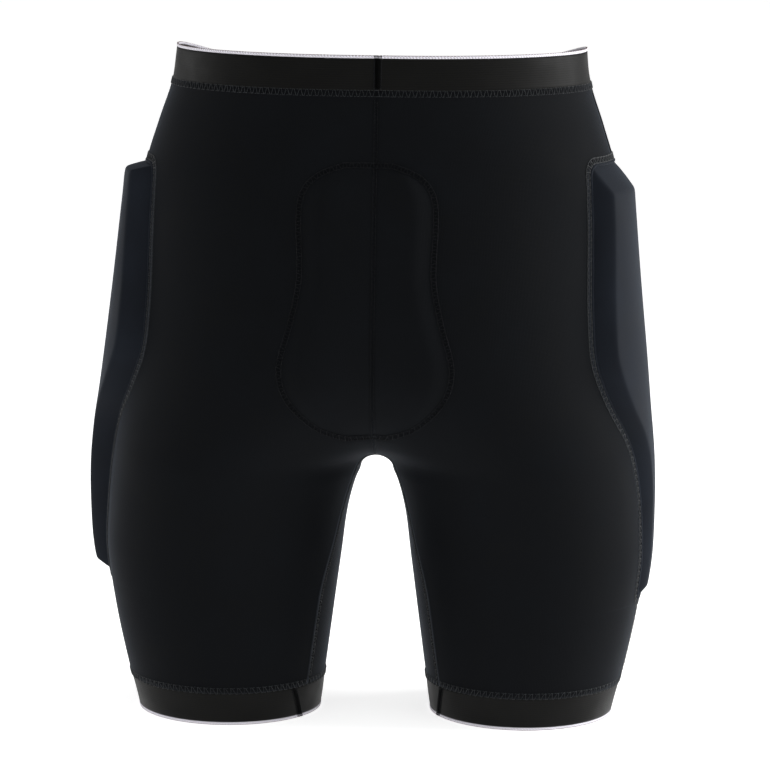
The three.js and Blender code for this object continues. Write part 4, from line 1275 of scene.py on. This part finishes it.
def band_pieces(label, nodes, columns, place, low, high, rim, sizes):
    """An elastic band, its light edging and the brown thread along the rim, and the band's flat
    size. The rim is the free edge, low is where the elastic starts and high where it ends."""
    def rippled(around, row, extra):
        """The band is slack between its edges."""
        share = (row - low) / (high - low)
        return place(around, row, extra + RIPPLE * np.sin(around * 23) * np.sin(np.pi * share))

    bm, size = laid_grid(columns, np.linspace(low, high, 15), rippled, closed=True)
    band = new_piece(f"{label}_elastic", bm, "elastic", nodes[:1], sizes.elastic)
    near = high if abs(rim - high) < abs(rim - low) else low
    middle = (near + rim) / 2
    half = abs(near - rim) / 2

    def rolled(around, row, extra):
        crown = YARN_CROWN * (1 - ((row - middle) / half) ** 2)
        return place(around, row, extra + crown - YARN_SUNK)

    bm, _ = laid_grid(columns, np.linspace(min(near, rim), max(near, rim), 7), rolled, closed=True)
    edging = new_piece(f"{label}_edging_yarn", bm, "woven_edge", nodes[1:], sizes.elastic)
    toward = 1 if rim > middle else -1
    around = np.linspace(columns[0], columns[-1], len(columns) * 4)[:-1]
    path = place(around, np.full(len(around), rim - toward * SELVAGE_DOWN),
                 np.resize(SELVAGE_HEIGHTS, len(around)))
    selvage = threads(f"{label}_selvage_thread", [(path, True)], SELVAGE_RADIUS,
                      "selvage_thread", [])
    return band, edging, selvage, size


def flat_join(node, middle, low, high, spot):
    """Bar-tacked join of a band: close zigzag over the butted ends between two dark rows."""
    line = [(middle, low), (middle, high)]
    cover = strand(line, (-JOIN_HALF, JOIN_HALF), (JOIN_HEIGHT,), False, JOIN_PITCH / 2, spot)
    rows = [strand(line, (shift,), NEEDLE_HEIGHTS, False, JOIN_ROW_STEP, spot)
            for shift in (-JOIN_HALF - JOIN_ROW_OUT, JOIN_HALF + JOIN_ROW_OUT)]
    return threads(f"{node}_threads", [cover, *rows], JOIN_THREAD, "dark_thread", [node])


class SHORTS_OT_waistband(PieceOperator, bpy.types.Operator):
    """Waistband: woven elastic ring with its light edge, its join and the seam below it"""

    bl_idname = "shorts.waistband"
    bl_label = "Waistband"

    JOIN_ASIDE = 0.8 * MM           # the join lies this far right of centre back

    def build(self, form, outlines, sizes):
        rim = form.waist
        band, edging, selvage, size = band_pieces(
            "waistband", ["waistband", "waistband_edging"], np.linspace(0, 4, 241),
            waist_place(form), form.band_bottom, rim - sizes.edging_width, rim, sizes)
        join = flat_join("waistband_join", self.JOIN_ASIDE, form.band_bottom + MM,
                         rim - END_CLEAR, form.at_back)

        row = form.band_bottom + SEAM_OVERLAP - sizes.stitch_width / 2
        total = float(form.full_arc(row, -1) + form.full_arc(row, 1))

        def spot(run, rows, height):
            """Run goes once round the waist: up the right side and back down the left."""
            run = run % (2 * total)
            side = np.where(run < total, 1, -1)
            within = np.where(side > 0, run, 2 * total - run)
            return form.at_side(side, rows, within - form.full_arc(rows, -1), height)

        seam = sew("waist_seam", level_line(0, 2 * total, row, 400),
                   sizes.stitch_width * BAND_SEAM, spot, sizes, sizes.band_thread, "grey_thread",
                   sunk=BAND_SUNK)
        declare_cloth(band, size, ELASTIC_STRETCH)


class SHORTS_OT_leg_bands(PieceOperator, bpy.types.Operator):
    """Leg bands: elastic rings with a light edge, a join and the seam above"""

    bl_idname = "shorts.leg_bands"
    bl_label = "Leg Bands"

    JOIN_SHARE = {"left": -0.775, "right": -0.83}   # side line to inseam, at the rear
    JOIN_ROW = 12 * MM

    def build(self, form, outlines, sizes):
        for name, side in SIDES:
            band, edging, selvage, size = band_pieces(
                f"leg_band_{name}", [f"leg_band_{name}", f"leg_band_edging_{name}"],
                np.linspace(-1, 1, 181), hem_place(form, side), sizes.edging_width,
                sizes.elastic_width, 0.0, sizes)

            def spot(arc, row, height):
                return form.at_side(side, row, arc, height)

            join_arc = self.JOIN_SHARE[name] * float(form.full_arc(self.JOIN_ROW, -1))
            join = flat_join(f"leg_band_join_{name}", join_arc, END_CLEAR,
                             sizes.elastic_width - MM, spot)
            row = sizes.elastic_width - SEAM_OVERLAP + sizes.stitch_width / 2
            line = level_line(-form.full_arc(row, -1), form.full_arc(row, 1), row, 200)
            seam = sew(f"leg_seam_{name}", line, sizes.stitch_width * BAND_SEAM, spot, sizes,
                       sizes.band_thread, "grey_thread", sunk=BAND_SUNK)
            declare_cloth(band, size, ELASTIC_STRETCH)


# ---------------------------------------------------------------- seams
HIP_SEAM = 0.72                 # seam widths, as shares of the stitch width
TAIL_SEAM = 0.65
HIP_SEAM_OUT = 1.4 * MM         # the hip seam lies this far outside the pad's outline,
WELT_IN = 2.0 * MM              # and the welt this far inside it
WELT_RADIUS = 1.0 * MM
WELT_HEIGHT = 0.25 * MM
WELT_STEP = 1.6 * MM
TAIL_CORNER = 26 * MM
PLAIN_SEAM = 2.4 * MM
FINE_THREAD = 0.16 * MM
GUSSET_THREAD = 0.24 * MM
GUSSET_RUN = 0.985              # the gusset's seams stop this share of the way to the hems
GUSSET_POINTS = 500
GUSSET_CLEAR = 4 * MM           # between a centre seam and the gusset
SIDE_CLEAR = 5 * MM             # between a side seam and the hip pad
FRONT_SUNK = 0.4 * MM           # the centre-front seam lies in its groove


def outline(half_at, low, high, corner):
    """Closed outline of a pad in (arc, row): up one edge, over the top and down the other."""
    bends = corner * PadOutlines.CORNER_BENDS
    rows = np.concatenate([low + bends, np.linspace(low + corner, high - corner, 60)[1:-1],
                           (high - bends)[::-1]])
    right = [(half_at(row, 1), row) for row in rows]
    left = [(-half_at(row, -1), row) for row in rows[::-1]]
    return np.array(right + left, float)


def shifted(line, distance):
    """A closed line moved outward by the distance."""
    dense = resample(line, MM, True)
    return dense + sideways(dense, True) * distance


class SHORTS_OT_hip_seams(PieceOperator, bpy.types.Operator):
    """Flatlock seam round each hip pad, and the rolled welt just inside it"""

    bl_idname = "shorts.hip_seams"
    bl_label = "Hip Pad Seams"

    def build(self, form, outlines, sizes):
        for name, side in SIDES:
            def half_at(row, _):
                return outlines.hip_half(name, row)

            def spot(arc, row, height):
                return form.at_side(side, row, arc - outlines.twist(name), height)

            line = outline(half_at, *outlines.hip_span(name), sizes.hip_corner)
            sew(f"hip_pad_seam_{name}", shifted(line, HIP_SEAM_OUT), sizes.stitch_width * HIP_SEAM,
                spot, sizes, sizes.thread, "grey_thread", closed=True)
            welt = strand(shifted(line, -WELT_IN), (0.0,), (WELT_HEIGHT,), True, WELT_STEP, spot)
            threads(f"hip_pad_welt_{name}", [welt], WELT_RADIUS, "cover_knit", [], sides=2)


class SHORTS_OT_tailbone_seam(PieceOperator, bpy.types.Operator):
    """Dark flatlock seam that holds the tailbone pad behind the back panels"""

    bl_idname = "shorts.tailbone_seam"
    bl_label = "Tailbone Seam"

    def build(self, form, outlines, sizes):
        line = outline(outlines.tail_half, outlines.tail_bottom, outlines.tail_top, TAIL_CORNER)
        sew("tailbone_seam", shifted(line, outlines.TAIL_STITCH * MM),
            sizes.stitch_width * TAIL_SEAM, on_back_panels(form, outlines), sizes, sizes.thread,
            "dark_thread", closed=True)


class SHORTS_OT_plain_seams(PieceOperator, bpy.types.Operator):
    """Narrow seams: centre back, centre front, the sides above and below the pads, the gusset"""

    bl_idname = "shorts.plain_seams"
    bl_label = "Plain Seams"

    def build(self, form, outlines, sizes):
        top = form.band_bottom - sizes.stitch_width - MM
        foot = sizes.elastic_width + sizes.stitch_width + MM

        def front(across, row, height):
            return form.at_front(across, row, height - FRONT_SUNK)

        for name, spot, sign in (("back", on_back_panels(form, outlines), -1), ("front", front, 1)):
            low = float(form.rise_height(sign * (GUSSET_NARROW + GUSSET_CLEAR)))
            sew(f"centre_{name}_seam", upright(low, top, 90), PLAIN_SEAM, spot, sizes,
                FINE_THREAD, "dark_thread")
        for name, side in SIDES:
            low, high = outlines.hip_span(name)

            def beside(arc, row, height):
                return form.at_side(side, row, arc - outlines.twist(name), height)

            for part, start, end in (("upper", high + SIDE_CLEAR, top),
                                     ("lower", foot, low - SIDE_CLEAR)):
                sew(f"side_seam_{part}_{name}", upright(start, end, 40), PLAIN_SEAM, beside,
                    sizes, FINE_THREAD, "dark_thread")
        run = np.linspace(-GUSSET_RUN, GUSSET_RUN, GUSSET_POINTS)
        swing = np.resize(LOOPER_SWING, GUSSET_POINTS) * PLAIN_SEAM / 2
        for name, sign in (("back", -1), ("front", 1)):
            paths = [(form.at_gusset(run, sign, shift, np.resize(heights, GUSSET_POINTS)), False)
                     for shift, heights in ((-PLAIN_SEAM / 2, NEEDLE_HEIGHTS),
                                            (PLAIN_SEAM / 2, NEEDLE_HEIGHTS),
                                            (swing, (LOOPER_HEIGHT,)))]
            threads(f"gusset_seam_{name}_threads", paths, GUSSET_THREAD, "grey_thread",
                    [f"gusset_seam_{name}"])


# ---------------------------------------------------------------- stage
FLOOR_HALF = 14.0
FLOOR_DOWN = 0.2 * MM           # the threads at the hems reach a little below them
FLOOR_COLOUR = "#f4f4f4"
FLOOR_GLOW = 0.7                # a back-lit paper floor, as in a white-out studio
WHITE = (1.0, 1.0, 1.0, 1.0)
WORLD_STRENGTH = 0.34           # what lights the shorts; the camera sees plain white
LIGHTS = (
    # name, position, size, power, aim height
    ("right_softbox", (1.8, 0.2, 0.95), 1.2, 38.0, 0.25),
    ("left_softbox", (-1.8, 0.45, 0.75), 1.2, 8.0, 0.25),
    ("top_softbox", (0.3, -0.8, 2.2), 2.0, 16.0, 0.2),
)
CAMERA_AZIMUTH = math.radians(2.0)
CAMERA_ELEVATION = math.radians(9.0)
CAMERA_DISTANCE = 3.0
CAMERA_ROLL = math.radians(0.6)
CAMERA_LENS = 193.0
AIM_HEIGHT = 0.238
AIM_ASIDE = 4.7 * MM            # the aim is this far to the right of the garment's axis


class SHORTS_OT_stage(bpy.types.Operator):
    """Floor, lights and camera"""

    bl_idname = "shorts.stage"
    bl_label = "Stage"

    def execute(self, context):
        make_floor()
        make_lights()
        make_camera(BodyForm(context.scene.shorts_sizes))
        context.scene.view_settings.view_transform = "Standard"
        return {"FINISHED"}


def make_floor():
    """A wide, matt, off-white paper floor."""
    bm = bmesh.new()
    bmesh.ops.create_grid(bm, x_segments=1, y_segments=1, size=FLOOR_HALF)
    mesh = bpy.data.meshes.new("floor")
    bm.to_mesh(mesh)
    bm.free()
    floor = bpy.data.objects.new("floor", mesh)
    bpy.context.scene.collection.objects.link(floor)
    shade = linear(FLOOR_COLOUR)
    material = new_material("studio_paper", shade)
    finish_with(material.node_tree, Base_Color=(*shade, 1.0), Roughness=0.95,
                Specular_IOR_Level=0.1, Emission_Color=WHITE, Emission_Strength=FLOOR_GLOW)
    mesh.materials.append(material)
    floor.location.z = -FLOOR_DOWN


def make_lights():
    """Large softboxes on both sides, one above, and an even pale surround."""
    for name, position, size, power, aim in LIGHTS:
        data = bpy.data.lights.new(name, "AREA")
        data.shape = "SQUARE"
        data.size = size
        data.energy = power
        lamp = bpy.data.objects.new(name, data)
        lamp.location = position
        toward = Vector((0, 0, aim)) - Vector(position)
        lamp.rotation_euler = toward.to_track_quat("-Z", "Y").to_euler()
        bpy.context.scene.collection.objects.link(lamp)
    world = bpy.data.worlds.new("studio")
    world.use_nodes = True
    tree = world.node_tree
    tree.nodes.clear()
    lit = add_node(tree, "ShaderNodeBackground", Color=WHITE, Strength=WORLD_STRENGTH)
    seen = add_node(tree, "ShaderNodeBackground", Color=WHITE, Strength=1.0)
    path = add_node(tree, "ShaderNodeLightPath")
    surround = add_node(tree, "ShaderNodeMixShader", _0=path.outputs["Is Camera Ray"], _1=lit,
                        _2=seen)
    add_node(tree, "ShaderNodeOutputWorld", Surface=surround)
    bpy.context.scene.world = world


def make_camera(form):
    """A long lens behind the wearer, a little to the right and above."""
    right = Vector((math.cos(CAMERA_AZIMUTH), math.sin(CAMERA_AZIMUTH), 0))
    target = Vector((form.axis[0], form.axis[1], AIM_HEIGHT)) + right * AIM_ASIDE
    flat = math.cos(CAMERA_ELEVATION)
    away = Vector((math.sin(CAMERA_AZIMUTH) * flat, -math.cos(CAMERA_AZIMUTH) * flat,
                   math.sin(CAMERA_ELEVATION)))
    data = bpy.data.cameras.new("camera")
    data.lens = CAMERA_LENS
    data.sensor_width = 36.0
    data.dof.use_dof = False
    camera = bpy.data.objects.new("camera", data)
    camera.location = target + away * CAMERA_DISTANCE
    turn = (-away).to_track_quat("-Z", "Y").to_matrix()
    camera.rotation_euler = (turn @ Matrix.Rotation(CAMERA_ROLL, 3, "Z")).to_euler()
    bpy.context.scene.collection.objects.link(camera)
    bpy.context.scene.camera = camera


class SHORTS_PT_sidebar(bpy.types.Panel):
    """Sizes, colours and the operators that make the pieces"""

    bl_idname = "SHORTS_PT_sidebar"
    bl_label = "Padded Shorts"
    bl_space_type = "VIEW_3D"
    bl_region_type = "UI"
    bl_category = "Shorts"

    def draw(self, context):
        layout = self.layout
        for group in (context.scene.shorts_sizes, context.scene.shorts_colours):
            column = layout.column(align=True)
            for name in type(group).__annotations__:
                column.prop(group, name)
        for step in STEPS:
            layout.operator(f"shorts.{step}")


CLASSES = (
    ShortsSizes, ShortsColours, SHORTS_OT_back_panels, SHORTS_OT_front_panels,
    SHORTS_OT_inseam_gusset, SHORTS_OT_hip_pads, SHORTS_OT_hip_liners, SHORTS_OT_tailbone_pad,
    SHORTS_OT_waistband, SHORTS_OT_leg_bands, SHORTS_OT_hip_seams, SHORTS_OT_tailbone_seam,
    SHORTS_OT_plain_seams, SHORTS_OT_stage, SHORTS_PT_sidebar,
)
STEPS = tuple(cls.bl_idname.split(".")[1] for cls in CLASSES
              if issubclass(cls, bpy.types.Operator))


def register():
    for cls in CLASSES:
        bpy.utils.register_class(cls)
    bpy.types.Scene.shorts_sizes = PointerProperty(type=ShortsSizes)
    bpy.types.Scene.shorts_colours = PointerProperty(type=ShortsColours)


def unregister():
    del bpy.types.Scene.shorts_sizes
    del bpy.types.Scene.shorts_colours
    for cls in reversed(CLASSES):
        bpy.utils.unregister_class(cls)


def main():
    register()
    for step in STEPS:
        getattr(bpy.ops.shorts, step)()


if __name__ == "__main__":
    main()
